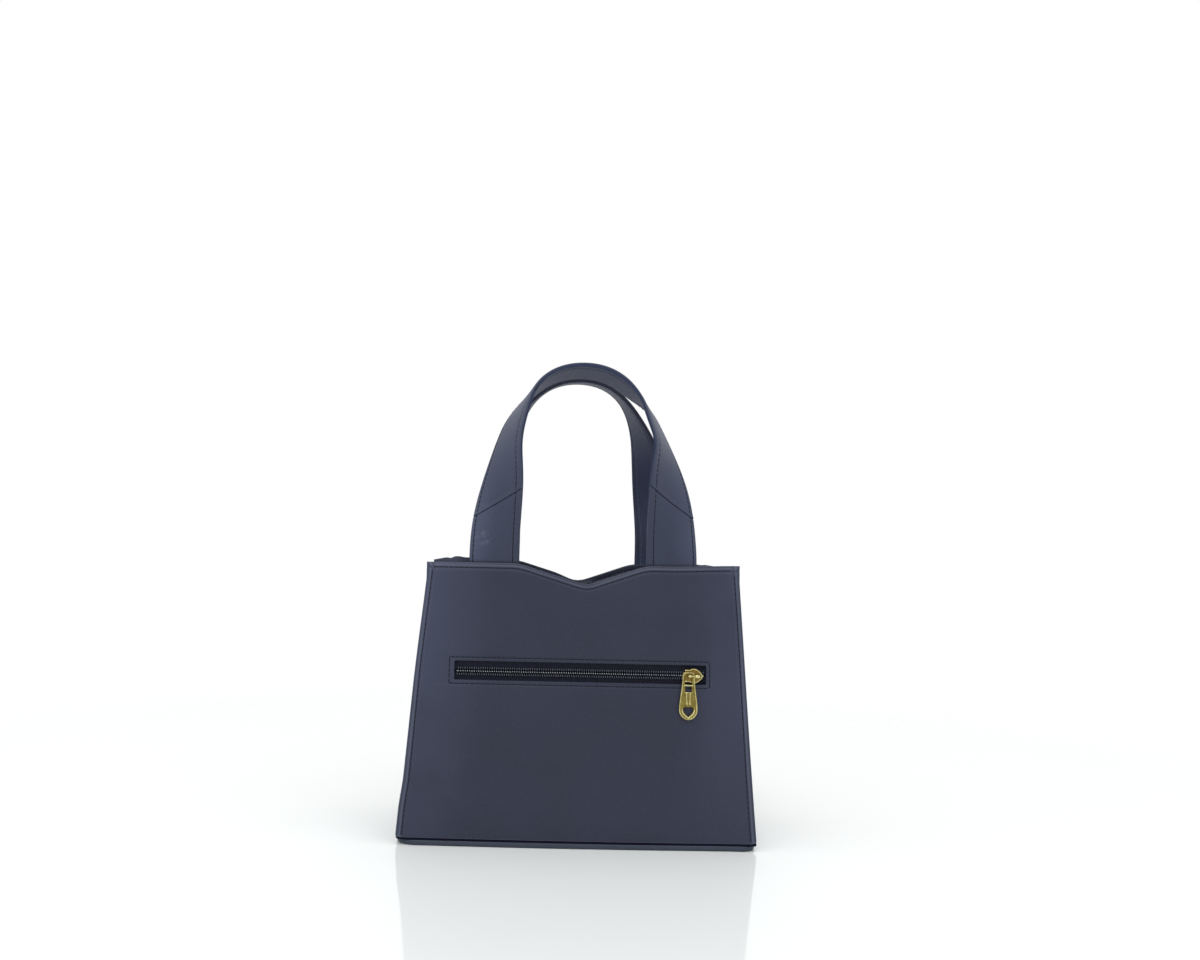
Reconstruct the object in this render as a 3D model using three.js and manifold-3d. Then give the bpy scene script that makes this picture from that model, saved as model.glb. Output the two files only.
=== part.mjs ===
// A small structured handbag with two arched top handles, a notched top edge and a zipped slip pocket
// in its front wall. Millimetres, +Z up, front wall towards -Y, origin on the floor under the middle.
import * as THREE from "three";
import { mergeVertices } from "three/addons/utils/BufferGeometryUtils.js";
import Module from "manifold-3d";

const wasm = await Module();
wasm.setup();

// Body
const BASE_WIDTH = 206; // across the foot of the front and back walls
const TOP_WIDTH = 180; // across the shoulders
const BODY_HEIGHT = 163; // floor to shoulder
const BASE_DEPTH = 84; // front to back at the foot, outside
const TOP_DEPTH = 68; // front to back at the shoulders, outside
const NOTCH_WIDTH = 74; // the V in the middle of the top edge
const NOTCH_DEPTH = 11.5;
const NOTCH_SHIFT = 2.6; // the V's point lies this far right of the middle
const NOTCH_ROUND = 9; // length of edge over which each turn of the V is eased

// Sheet thicknesses
const LEATHER = 2;
const GUSSET = 1.2;
const BOARD = 1;
const FACING = 1.2;
const LINING = 0.6;
const TAPE = 0.6;
const STRAP_FACE = 1.4;
const STRAP_BACKING = 1;
const BASE_EDGE = 3.6; // rolled edge of the base
const BASE_BOARD = 2;

// Gaps between sewn layers and around moving pieces
const SEAM = 0.3;
const RUNNING = 0.3;

// Sewing allowances
const FLANGE = 5; // gusset edge turned in behind a wall
const TAB_DROP = 22; // handle end sewn in below the top edge
const LINING_OVERLAP = 8; // lining top behind the facing
const BASE_CORNER = 4;

// Handles
const STRAP_WIDTH = 28;
const HANDLE_SPREAD = 104; // between the middles of the two legs
const HANDLE_RISE = 116.5; // fold line to crown
const LEG_REACH = 74; // how far the leg holds its direction
const CROWN_REACH = 38; // how far the crown holds its direction
const TWIST_RISE = 114; // height by which the strap has turned flat
const HANDLE_LEAN = 6.5; // degrees inward from upright
const FOLD_RISE = 1.4; // fold line above the top edge
const MITRE_OUTER = 28.5; // slanting seam, along the outer edge of a leg
const MITRE_INNER = 45; // and along its inner edge

// Zip pocket
const WINDOW_LENGTH = 145;
const WINDOW_HEIGHT = 10;
const ZIP_HEIGHT = 100.5; // floor to the middle of the window
const TAPE_WIDTH = 14;
const TAPE_OVERHANG = 6; // tape past each end of the window
const CHAIN_GAP = 1; // between the two rows of coil
const COIL_WIDTH = 2.6;
const COIL_THICKNESS = 1.8;
const POUCH_DEPTH = 6;
const POUCH_DROP = 70; // below the middle of the window
const POUCH_RISE = 15;
const POUCH_MOUTH = 16;

// Slider and pull
const SLIDER_LENGTH = 13;
const SLIDER_WIDTH = 9.2;
const SLIDER_TAIL = 8.2;
const SLIDER_NOSE = 2.4; // half width of the blunt nose
const SLIDER_PLATE = 1.1;
const SLIDER_END_GAP = 1; // to the end of the window
const WEB_THICKNESS = 0.5;
const WEB_LENGTH = 6;
const BRIDGE_WIDTH = 2.2;
const BRIDGE_THICKNESS = 1.6;
const BRIDGE_BACK = -3.8; // along the slider, from its middle
const BRIDGE_FRONT = 4.8;
const PULL_LENGTH = 27.4;
const PULL_TOP = 7.2; // width at the top
const PULL_FOOT = 10.8; // greatest width
const PULL_THICKNESS = 1.3;
const EYE_WIDTH = 3.9; // opening that hangs on the bridge
const EYE_HEIGHT = 6;
const EYE_RAIL = 1.6; // metal above the eye
const SLOT_WIDTH = 3.7;
const SLOT_HEIGHT = 3.2;
const SLOT_RAIL = 1.4; // metal between the eye and the slot
const HEART_WIDTH = 6;
const HEART_HEIGHT = 5.6;
const HEART_RAIL = 2.2; // metal under the heart

// Magnetic snap inside the mouth
const SNAP_RADIUS = 7;
const SNAP_MARGIN = 4; // leather between the V and the disc
const SNAP_THICKNESS = 2;
const SNAP_STUD_RADIUS = 3;
const SNAP_STUD_HEIGHT = 1.5;
const WASHER_THICKNESS = 0.8;

// Sizes worked out from those above
const FOOT = BASE_EDGE + SEAM; // height at which the walls start
const RISE = BODY_HEIGHT - FOOT;
const INSET = (BASE_DEPTH - TOP_DEPTH) / 2;
const LEAN = Math.atan2(INSET, RISE);
const WALL = Math.hypot(INSET, RISE); // height of a wall along its own slope
const STRAP = STRAP_FACE + SEAM + STRAP_BACKING;
const HANDLE_TILT = THREE.MathUtils.degToRad(HANDLE_LEAN) - LEAN; // handle against its wall
const TAB_FRONT = LEATHER + SEAM; // depth of the handle ends behind a wall's outer face
const FACING_FRONT = TAB_FRONT + STRAP + SEAM;
const FACING_BACK = FACING_FRONT + FACING;
const SNAP_DROP = NOTCH_DEPTH + SNAP_MARGIN + SNAP_RADIUS; // middle of the disc below the shoulder
const FACING_DROP = SNAP_DROP + SNAP_RADIUS + SEAM + LINING_OVERLAP;
const ZIP = (ZIP_HEIGHT - FOOT) / Math.cos(LEAN); // window's middle, up the wall's slope
const TAPE_FRONT = LEATHER + SEAM;
const TAPE_BACK = TAPE_FRONT + TAPE;
const COIL_BACK = TAPE_FRONT - SEAM;
const COIL_FRONT = COIL_BACK - COIL_THICKNESS;
const PLATE_BACK = COIL_FRONT - RUNNING; // slider's front plate
const PLATE_FRONT = PLATE_BACK - SLIDER_PLATE;
const KEEPER_FRONT = TAPE_BACK + RUNNING; // slider's rear plate
const KEEPER_BACK = KEEPER_FRONT + SLIDER_PLATE;
const PULL_BACK = PLATE_FRONT - RUNNING;
const PULL_FRONT = PULL_BACK - PULL_THICKNESS;
const BRIDGE_UNDER = PULL_FRONT - RUNNING;
const POUCH_FRONT = KEEPER_BACK + SEAM;
const LINING_DEPTH = POUCH_FRONT + POUCH_DEPTH + SEAM;
const SLIDER_AT = WINDOW_LENGTH / 2 - SLIDER_END_GAP - SLIDER_LENGTH / 2;
const HINGE_AT = BRIDGE_BACK + BRIDGE_THICKNESS / 2; // bridge leg the pull hangs on
const PULL_HALF = PULL_FOOT / 2;

// Half width of a wall at a height up its slope.
function halfWidth(up) {
  return THREE.MathUtils.lerp(BASE_WIDTH, TOP_WIDTH, up / WALL) / 2;
}

// Distance of a wall's outer face from the middle plane at a height above the floor.
function wallFace(z) {
  return BASE_DEPTH / 2 - (z - FOOT) * Math.tan(LEAN);
}

// Materials
function finish(color, roughness, metalness = 0) {
  return new THREE.MeshStandardMaterial({ color, roughness, metalness });
}
const LEATHERETTE = finish(0x3d4150, 0.55);
const LINING_CLOTH = finish(0x23252e, 0.9);
const STIFF_BOARD = finish(0x8a8378, 0.9);
const ZIP_CLOTH = finish(0x191a20, 0.9);
const ZIP_COIL = finish(0x2a2c33, 0.4);
const ANTIQUE_BRASS = finish(0x8f8448, 0.35, 1);
const SNAP_METAL = finish(0x9a9a96, 0.3, 1);

// Makes a named mesh.
function piece(name, geometry, material) {
  const mesh = new THREE.Mesh(geometry, material);
  mesh.name = name;
  return mesh;
}

// A flat outline, drawn in x and up, as a sheet that lies between two depths behind the outer face.
function sheet(outline, front, back, curveSegments = 8) {
  const geometry = new THREE.ExtrudeGeometry(outline, {
    depth: back - front,
    bevelEnabled: false,
    curveSegments,
  });
  return geometry.rotateX(Math.PI / 2).translate(0, back, 0);
}

function rectangle(left, bottom, right, top, Kind = THREE.Shape) {
  const outline = new Kind();
  outline.moveTo(left, bottom);
  outline.lineTo(right, bottom);
  outline.lineTo(right, top);
  outline.lineTo(left, top);
  outline.closePath();
  return outline;
}

function solidOf(geometry) {
  const bare = geometry.index ? geometry.toNonIndexed() : geometry.clone();
  bare.deleteAttribute("normal");
  bare.deleteAttribute("uv");
  const merged = mergeVertices(bare, 1e-4);
  return new wasm.Manifold(
    new wasm.Mesh({
      numProp: 3,
      vertProperties: merged.attributes.position.array,
      triVerts: new Uint32Array(merged.index.array),
    }),
  );
}

function geometryOf(solid) {
  const mesh = solid.getMesh();
  return new THREE.BufferGeometry()
    .setAttribute("position", new THREE.BufferAttribute(mesh.vertProperties, 3))
    .setIndex(new THREE.BufferAttribute(mesh.triVerts, 1));
}

function block(left, front, bottom, right, back, top) {
  return new THREE.BoxGeometry(right - left, back - front, top - bottom).translate(
    (left + right) / 2,
    (front + back) / 2,
    (bottom + top) / 2,
  );
}

// A closed skin over rings of points, with flat ends; each ring's flat outline gives the end faces.
function loft(rings, flatRing) {
  const count = flatRing.length;
  const points = rings.flat().flatMap((p) => [p.x, p.y, p.z]);
  const faces = [];
  for (let r = 0; r + 1 < rings.length; r++)
    for (let i = 0; i < count; i++) {
      const a = r * count + i;
      const b = r * count + ((i + 1) % count);
      faces.push(a, b, b + count, a, b + count, a + count);
    }
  const last = (rings.length - 1) * count;
  for (const [a, b, c] of THREE.ShapeUtils.triangulateShape(flatRing, []))
    faces.push(c, b, a, last + a, last + b, last + c);
  const geometry = new THREE.BufferGeometry();
  geometry.setAttribute("position", new THREE.Float32BufferAttribute(points, 3));
  geometry.setIndex(faces);
  return solidOf(geometry).volume() < 0 ? inverted(geometry) : geometry;
}

function inverted(geometry) {
  const index = Array.from(geometry.index.array);
  for (let i = 0; i < index.length; i += 3)
    [index[i + 1], index[i + 2]] = [index[i + 2], index[i + 1]];
  return geometry.setIndex(index);
}

// The top edge of a wall from right to left: shoulder, eased V, shoulder.
function topEdge(outline, half, shift) {
  const run = NOTCH_WIDTH / 2;
  const right = NOTCH_DEPTH / (run - shift); // steepness of each slope
  const left = NOTCH_DEPTH / (run + shift);
  const ease = NOTCH_ROUND / 2;
  const point = WALL - NOTCH_DEPTH;
  outline.lineTo(half, WALL);
  outline.lineTo(run + ease, WALL);
  outline.quadraticCurveTo(run, WALL, run - ease, WALL - ease * right);
  outline.lineTo(shift + ease, point + ease * right);
  outline.quadraticCurveTo(shift, point, shift - ease, point + ease * left);
  outline.lineTo(ease - run, WALL - ease * left);
  outline.quadraticCurveTo(-run, WALL, -run - ease, WALL);
  outline.lineTo(-half, WALL);
}

// Outer wall of leatherette, with the zip window on the front one.
function wallPanel(withWindow, shift) {
  const outline = new THREE.Shape();
  outline.moveTo(-halfWidth(0), 0);
  outline.lineTo(halfWidth(0), 0);
  topEdge(outline, halfWidth(WALL), shift);
  outline.closePath();
  if (withWindow) {
    const half = WINDOW_LENGTH / 2;
    const low = ZIP - WINDOW_HEIGHT / 2;
    outline.holes.push(rectangle(-half, low, half, low + WINDOW_HEIGHT, THREE.Path));
  }
  return sheet(outline, 0, LEATHER);
}

// Board that keeps a wall flat, clear of the gusset flanges, the handle ends and the zip.
function wallBoard(withWindow) {
  const bottom = FLANGE;
  const top = WALL - TAB_DROP - 2 * SEAM;
  const margin = FLANGE + 2 * SEAM;
  const outline = new THREE.Shape();
  outline.moveTo(margin - halfWidth(bottom), bottom);
  outline.lineTo(halfWidth(bottom) - margin, bottom);
  outline.lineTo(halfWidth(top) - margin, top);
  outline.lineTo(margin - halfWidth(top), top);
  outline.closePath();
  if (withWindow) {
    const half = WINDOW_LENGTH / 2 + TAPE_OVERHANG + SEAM;
    const reach = CHAIN_GAP / 2 + TAPE_WIDTH + SEAM;
    outline.holes.push(rectangle(-half, ZIP - reach, half, ZIP + reach, THREE.Path));
  }
  return sheet(outline, LEATHER + SEAM, LEATHER + SEAM + BOARD);
}

// Strip of leatherette inside the mouth, cut to the same V.
function wallFacing(shift) {
  const half = halfWidth(WALL) - 2 * (GUSSET + SEAM);
  const outline = new THREE.Shape();
  outline.moveTo(-half, WALL - FACING_DROP);
  outline.lineTo(half, WALL - FACING_DROP);
  topEdge(outline, half, shift);
  outline.closePath();
  return sheet(outline, FACING_FRONT, FACING_BACK);
}

// Lining cloth that hangs behind the facing and swings back to clear the pocket pouch.
function wallLining() {
  const top = WALL - FACING_DROP + LINING_OVERLAP;
  const bend = ZIP + POUCH_RISE + LINING;
  const foot = BASE_BOARD + SEAM + LINING + SEAM;
  const hung = FACING_BACK + SEAM;
  const margin = GUSSET + LINING + 4 * SEAM;
  const levels = [
    [foot, LINING_DEPTH],
    [bend, LINING_DEPTH],
    [top - LINING_OVERLAP, hung],
    [top, hung],
  ];
  const ring = (up, depth) => {
    const half = halfWidth(up) - margin;
    return [
      new THREE.Vector3(-half, depth, up),
      new THREE.Vector3(half, depth, up),
      new THREE.Vector3(half, depth + LINING, up),
      new THREE.Vector3(-half, depth + LINING, up),
    ];
  };
  const flat = ring(0, 0).map((p) => new THREE.Vector2(p.x, p.y));
  return loft(levels.map(([up, depth]) => ring(up, depth)), flat);
}

// Half of the zip's tape, above (side 1) or below (side -1) the chain.
function zipTape(side) {
  const half = WINDOW_LENGTH / 2 + TAPE_OVERHANG;
  const near = ZIP + (side * CHAIN_GAP) / 2;
  const far = near + side * TAPE_WIDTH;
  const outline = rectangle(-half, Math.min(near, far), half, Math.max(near, far));
  return sheet(outline, TAPE_FRONT, TAPE_BACK);
}

// One row of coil on the front of its tape, inside the window.
function zipCoil(side) {
  const half = WINDOW_LENGTH / 2 - SEAM;
  const near = ZIP + (side * CHAIN_GAP) / 2;
  const far = near + side * COIL_WIDTH;
  const outline = rectangle(-half, Math.min(near, far), half, Math.max(near, far));
  return sheet(outline, COIL_FRONT, COIL_BACK - SEAM);
}

// Cloth pouch behind the zip, open at the front where the zip's chain and slider run.
function pocketPouch() {
  const half = WINDOW_LENGTH / 2 + TAPE_OVERHANG;
  const back = POUCH_FRONT + POUCH_DEPTH - LINING;
  const low = ZIP - POUCH_DROP;
  const high = ZIP + POUCH_RISE;
  const outer = block(-half, POUCH_FRONT, low, half, back + LINING, high);
  const inner = block(
    LINING - half,
    POUCH_FRONT + LINING,
    low + LINING,
    half - LINING,
    back,
    high - LINING,
  );
  const mouth = block(
    LINING - half,
    POUCH_FRONT - LINING,
    ZIP - POUCH_MOUTH / 2,
    half - LINING,
    back,
    ZIP + POUCH_MOUTH / 2,
  );
  return geometryOf(solidOf(outer).subtract(solidOf(inner)).subtract(solidOf(mouth)));
}

// Slider outline: square tail to the left, shoulders at the middle, blunt nose to the right.
function sliderOutline() {
  const half = SLIDER_LENGTH / 2;
  const outline = new THREE.Shape();
  outline.moveTo(-half, -SLIDER_TAIL / 2);
  outline.lineTo(0, -SLIDER_WIDTH / 2);
  outline.quadraticCurveTo(half - SLIDER_NOSE, -SLIDER_WIDTH / 2, half, -SLIDER_NOSE / 2);
  outline.lineTo(half, SLIDER_NOSE / 2);
  outline.quadraticCurveTo(half - SLIDER_NOSE, SLIDER_WIDTH / 2, 0, SLIDER_WIDTH / 2);
  outline.lineTo(-half, SLIDER_TAIL / 2);
  outline.closePath();
  return outline;
}

// Slider: front plate, rear plate, the web between the coil rows and the bridge that holds the pull.
function zipSlider() {
  const bite = SLIDER_PLATE / 2; // how deep joined shapes reach into a plate
  const wide = BRIDGE_WIDTH / 2;
  const under = BRIDGE_UNDER;
  const over = BRIDGE_UNDER - BRIDGE_THICKNESS;
  const shapes = [
    sheet(sliderOutline(), KEEPER_FRONT, KEEPER_BACK),
    block(-WEB_LENGTH / 2, PLATE_BACK - bite, -WEB_THICKNESS / 2, WEB_LENGTH / 2,
      KEEPER_FRONT + bite, WEB_THICKNESS / 2),
    block(BRIDGE_BACK, over, -wide, BRIDGE_FRONT, under, wide),
    block(BRIDGE_BACK, over, -wide, BRIDGE_BACK + BRIDGE_THICKNESS, PLATE_FRONT + bite, wide),
    block(BRIDGE_FRONT - BRIDGE_THICKNESS, over, -wide, BRIDGE_FRONT, PLATE_FRONT + bite, wide),
  ];
  const plate = solidOf(sheet(sliderOutline(), PLATE_FRONT, PLATE_BACK));
  return geometryOf(shapes.reduce((made, shape) => made.add(solidOf(shape)), plate));
}

// A heart with its point down, its lowest point at the given height.
function heart(bottom) {
  const half = HEART_WIDTH / 2;
  const top = bottom + HEART_HEIGHT;
  const lobe = bottom + HEART_HEIGHT * 0.65; // height of the widest part
  const dip = top - HEART_HEIGHT * 0.12; // notch between the lobes
  const path = new THREE.Path();
  path.moveTo(0, bottom);
  path.quadraticCurveTo(half, bottom + HEART_HEIGHT * 0.35, half, lobe);
  path.quadraticCurveTo(half, top, half / 2, top);
  path.quadraticCurveTo(half / 8, top, 0, dip);
  path.quadraticCurveTo(-half / 8, top, -half / 2, top);
  path.quadraticCurveTo(-half, top, -half, lobe);
  path.quadraticCurveTo(-half, bottom + HEART_HEIGHT * 0.35, 0, bottom);
  return path;
}

// Pull: a drop-shaped tongue whose eye hangs on the bridge, with a slot and a heart cut through it.
function zipPull() {
  const top = EYE_RAIL + BRIDGE_WIDTH / 2 + RUNNING;
  const foot = top - PULL_LENGTH;
  const waist = foot + PULL_HALF; // where the round foot starts
  const half = PULL_TOP / 2;
  const outline = new THREE.Shape();
  outline.moveTo(-half, top - half / 2);
  outline.lineTo(-PULL_HALF, waist);
  outline.bezierCurveTo(-PULL_HALF, foot + half / 2, -half / 2, foot, 0, foot);
  outline.bezierCurveTo(half / 2, foot, PULL_HALF, foot + half / 2, PULL_HALF, waist);
  outline.lineTo(half, top - half / 2);
  outline.quadraticCurveTo(half, top, half / 2, top);
  outline.lineTo(-half / 2, top);
  outline.quadraticCurveTo(-half, top, -half, top - half / 2);
  const eyeTop = top - EYE_RAIL;
  const slotTop = eyeTop - EYE_HEIGHT - SLOT_RAIL;
  const eye = [-EYE_WIDTH / 2, eyeTop - EYE_HEIGHT, EYE_WIDTH / 2, eyeTop];
  const slot = [-SLOT_WIDTH / 2, slotTop - SLOT_HEIGHT, SLOT_WIDTH / 2, slotTop];
  outline.holes.push(rectangle(...eye, THREE.Path));
  outline.holes.push(rectangle(...slot, THREE.Path));
  outline.holes.push(heart(foot + HEART_RAIL));
  return sheet(outline, PULL_FRONT, PULL_BACK, 6);
}

// Magnetic snap half on the facing, and the washer that clenches it from behind.
function snapHalf(withStud) {
  const depth = FACING_BACK + SEAM;
  const disc = new THREE.CylinderGeometry(SNAP_RADIUS, SNAP_RADIUS, SNAP_THICKNESS, 24);
  disc.translate(0, depth + SNAP_THICKNESS / 2, 0);
  const height = SNAP_STUD_HEIGHT + (withStud ? 0 : SEAM);
  const radius = SNAP_STUD_RADIUS + (withStud ? 0 : RUNNING);
  const stud = new THREE.CylinderGeometry(radius, radius, 2 * height, 16);
  stud.translate(0, depth + SNAP_THICKNESS, 0);
  const body = solidOf(disc);
  return geometryOf(withStud ? body.add(solidOf(stud)) : body.subtract(solidOf(stud)));
}

function snapWasher() {
  const washer = new THREE.CylinderGeometry(SNAP_RADIUS, SNAP_RADIUS, WASHER_THICKNESS, 24);
  return washer.translate(0, FACING_FRONT - SEAM - WASHER_THICKNESS / 2, 0);
}

// Handle end sewn in behind the wall's top edge, up to just under the fold line.
function handleTab(middle) {
  const top = WALL + FOLD_RISE - STRAP * Math.sin(HANDLE_TILT) - RUNNING;
  const half = STRAP_WIDTH / 2;
  const outline = rectangle(middle - half, WALL - TAB_DROP, middle + half, top);
  return sheet(outline, TAB_FRONT, TAB_FRONT + STRAP);
}

// Handle: one half of the strap's middle line, from a leg (0) to the crown (1), and its turned section.
const HALF_LINE = new THREE.CubicBezierCurve(
  new THREE.Vector2(HANDLE_SPREAD / 2, 0),
  new THREE.Vector2(HANDLE_SPREAD / 2, LEG_REACH),
  new THREE.Vector2(CROWN_REACH, HANDLE_RISE),
  new THREE.Vector2(0, HANDLE_RISE),
);
const HALF_LENGTH = HALF_LINE.getLength();

// A point of the strap: along it from a fold line, across it (-1 outer to 1 inner edge) and through it.
function strapPoint(along, across, through) {
  const mirrored = along > HALF_LENGTH;
  const share = (mirrored ? 2 * HALF_LENGTH - along : along) / HALF_LENGTH;
  const middle = HALF_LINE.getPointAt(share);
  const way = HALF_LINE.getTangentAt(share);
  const turn = (Math.PI / 2) * THREE.MathUtils.smoothstep(middle.y, 0, TWIST_RISE);
  const inward = new THREE.Vector3(-way.y, 0, way.x);
  const wide = inward.clone().multiplyScalar(Math.cos(turn));
  wide.y = -Math.sin(turn);
  const thick = inward.clone().multiplyScalar(Math.sin(turn));
  thick.y = Math.cos(turn);
  const point = new THREE.Vector3(middle.x, 0, middle.y);
  point.addScaledVector(wide, (across * STRAP_WIDTH) / 2).addScaledVector(thick, through);
  return mirrored ? point.setX(-point.x) : point;
}

// The slanting seam's place along the strap at a place across it.
function mitre(across) {
  return THREE.MathUtils.lerp(MITRE_OUTER, MITRE_INNER, (across + 1) / 2);
}

// One layer of strap between two places along it, each a function of the place across.
function strapLayer(start, end, front, back, steps) {
  const corners = [
    [-1, front],
    [1, front],
    [1, back],
    [-1, back],
  ];
  const rings = [];
  for (let i = 0; i <= steps; i++)
    rings.push(
      corners.map(([across, through]) => {
        const along = THREE.MathUtils.lerp(start(across), end(across), i / steps);
        return strapPoint(along, across, through);
      }),
    );
  return loft(rings, corners.map(([x, y]) => new THREE.Vector2(x, y)));
}

const LEG_STEPS = 8;
const ARCH_STEPS = 36;
const BACKING_FRONT = STRAP_FACE + SEAM;

// The moving part of one handle, built in front of a wall with its outer face to -Y.
function handle(name, right, left) {
  const group = new THREE.Group();
  const whole = 2 * HALF_LENGTH;
  const foot = () => 0;
  const seamBelow = (across) => mitre(across) - SEAM / 2;
  const seamAbove = (across) => mitre(across) + SEAM / 2;
  const leg = strapLayer(foot, seamBelow, 0, STRAP_FACE, LEG_STEPS);
  const otherLeg = inverted(leg.clone().scale(-1, 1, 1));
  const arch = strapLayer(seamAbove, (a) => whole - seamAbove(a), 0, STRAP_FACE, ARCH_STEPS);
  const backing = strapLayer(foot, () => whole, BACKING_FRONT, STRAP, ARCH_STEPS + LEG_STEPS);
  group.add(piece(`${name}_${right}_leg`, leg, LEATHERETTE));
  group.add(piece(`${name}_${left}_leg`, otherLeg, LEATHERETTE));
  group.add(piece(`${name}_arch`, arch, LEATHERETTE));
  group.add(piece(`${name}_backing`, backing, LEATHERETTE));
  group.position.set(0, TAB_FRONT, WALL + FOLD_RISE);
  group.rotation.x = -HANDLE_TILT;
  return group;
}

// One wall of the bag with all its layers, outer face at y 0, foot at z 0, leaning in towards +Y.
function wall(name, right, left, shift, withZip) {
  const group = new THREE.Group();
  group.position.set(0, -BASE_DEPTH / 2, FOOT);
  group.rotation.x = -LEAN;
  group.add(piece(`${name}_panel`, wallPanel(withZip, shift), LEATHERETTE));
  group.add(piece(`${name}_stiffener`, wallBoard(withZip), STIFF_BOARD));
  group.add(piece(`${name}_facing`, wallFacing(shift), LEATHERETTE));
  group.add(piece(`${name}_lining`, wallLining(), LINING_CLOTH));
  group.add(piece(`${name}_handle_${right}_tab`, handleTab(HANDLE_SPREAD / 2), LEATHERETTE));
  group.add(piece(`${name}_handle_${left}_tab`, handleTab(-HANDLE_SPREAD / 2), LEATHERETTE));
  group.add(handle(`${name}_handle`, right, left));
  const snap = piece(`${name}_snap`, snapHalf(withZip), SNAP_METAL);
  const washer = piece(`${name}_snap_washer`, snapWasher(), SNAP_METAL);
  for (const mesh of [snap, washer]) {
    mesh.position.z = WALL - SNAP_DROP;
    group.add(mesh);
  }
  if (withZip) {
    group.add(piece("zip_upper_tape", zipTape(1), ZIP_CLOTH));
    group.add(piece("zip_lower_tape", zipTape(-1), ZIP_CLOTH));
    group.add(piece("zip_upper_coil", zipCoil(1), ZIP_COIL));
    group.add(piece("zip_lower_coil", zipCoil(-1), ZIP_COIL));
    group.add(piece("pocket_pouch", pocketPouch(), LINING_CLOTH));
    const slider = piece("zip_slider", zipSlider(), ANTIQUE_BRASS);
    slider.position.set(SLIDER_AT, 0, ZIP);
    const pull = piece("zip_pull", zipPull(), ANTIQUE_BRASS);
    pull.position.set(SLIDER_AT + HINGE_AT, 0, ZIP);
    group.add(slider, pull);
  }
  return group;
}

// A side sheet between the two walls, with or without edges turned in behind them.
function sideSheet(side, inset, thickness, flange) {
  const bottom = FOOT + (flange ? 0 : BASE_BOARD + 2 * SEAM);
  const section = (z) => {
    const edge = halfWidth((z - FOOT) / Math.cos(LEAN)) - SEAM - inset;
    const layers = LEATHER + SEAM + (flange ? 0 : GUSSET + SEAM);
    const reach = wallFace(z) - layers / Math.cos(LEAN);
    const inner = edge - thickness;
    const turned = edge - flange;
    const plain = [[edge, -reach], [edge, reach], [inner, reach], [inner, -reach]];
    const hemmed = [
      [edge, -reach],
      [edge, reach],
      [turned, reach],
      [turned, reach - thickness],
      [inner, reach - thickness],
      [inner, thickness - reach],
      [turned, thickness - reach],
      [turned, -reach],
    ];
    return (flange ? hemmed : plain).map(([x, y]) => new THREE.Vector2(x, y));
  };
  const ring = (z) => section(z).map((p) => new THREE.Vector3(side * p.x, p.y, z));
  return loft([ring(bottom), ring(BODY_HEIGHT - SEAM)], section(bottom));
}

// A flat plate with rounded corners, standing on a height.
function plate(width, depth, corner, bottom, thickness) {
  const x = width / 2;
  const y = depth / 2;
  const outline = new THREE.Shape();
  outline.moveTo(corner - x, -y);
  outline.lineTo(x - corner, -y);
  outline.absarc(x - corner, corner - y, corner, -Math.PI / 2, 0);
  outline.absarc(x - corner, y - corner, corner, 0, Math.PI / 2);
  outline.absarc(corner - x, y - corner, corner, Math.PI / 2, Math.PI);
  outline.absarc(corner - x, corner - y, corner, Math.PI, 1.5 * Math.PI);
  const settings = { depth: thickness, bevelEnabled: false, curveSegments: 4 };
  return new THREE.ExtrudeGeometry(outline, settings).translate(0, 0, bottom);
}

// The whole bag
const bag = new THREE.Group();
bag.add(wall("front", "right", "left", NOTCH_SHIFT, true));
const turned = new THREE.Group();
turned.rotation.z = Math.PI;
turned.add(wall("back", "left", "right", -NOTCH_SHIFT, false));
bag.add(turned);

for (const [name, side] of [
  ["left", -1],
  ["right", 1],
]) {
  bag.add(piece(`${name}_gusset`, sideSheet(side, 0, GUSSET, FLANGE), LEATHERETTE));
  const lining = sideSheet(side, GUSSET + SEAM, LINING, 0);
  bag.add(piece(`${name}_gusset_lining`, lining, LINING_CLOTH));
}

const boardDepth = BASE_DEPTH - 2 * (LEATHER + GUSSET + 3 * SEAM);
const boardWidth = BASE_WIDTH - 2 * (GUSSET + 3 * SEAM);
const floorDepth = BASE_DEPTH - 2 * (LINING_DEPTH + LINING + SEAM);
const floorWidth = boardWidth - 2 * (LINING + SEAM);
bag.add(piece("base_panel", plate(BASE_WIDTH, BASE_DEPTH, BASE_CORNER, 0, BASE_EDGE), LEATHERETTE));
bag.add(piece("base_board", plate(boardWidth, boardDepth, 1, FOOT, BASE_BOARD), STIFF_BOARD));
const floorAt = FOOT + BASE_BOARD + SEAM;
bag.add(piece("base_lining", plate(floorWidth, floorDepth, 1, floorAt, LINING), LINING_CLOTH));

export default bag;
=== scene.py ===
"""A small navy handbag with two arched strap handles and a zipped front pocket, on a white table.

Lengths are in millimetres in the part's own frame until a mesh is made, which turns them into metres. The
scales of patterns are to the metre.
"""

from bisect import bisect_right
from itertools import accumulate
from math import atan2, ceil, cos, exp, hypot, pi, radians, sin

import bpy
from mathutils import Matrix, Vector
from mathutils.geometry import interpolate_bezier


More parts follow.
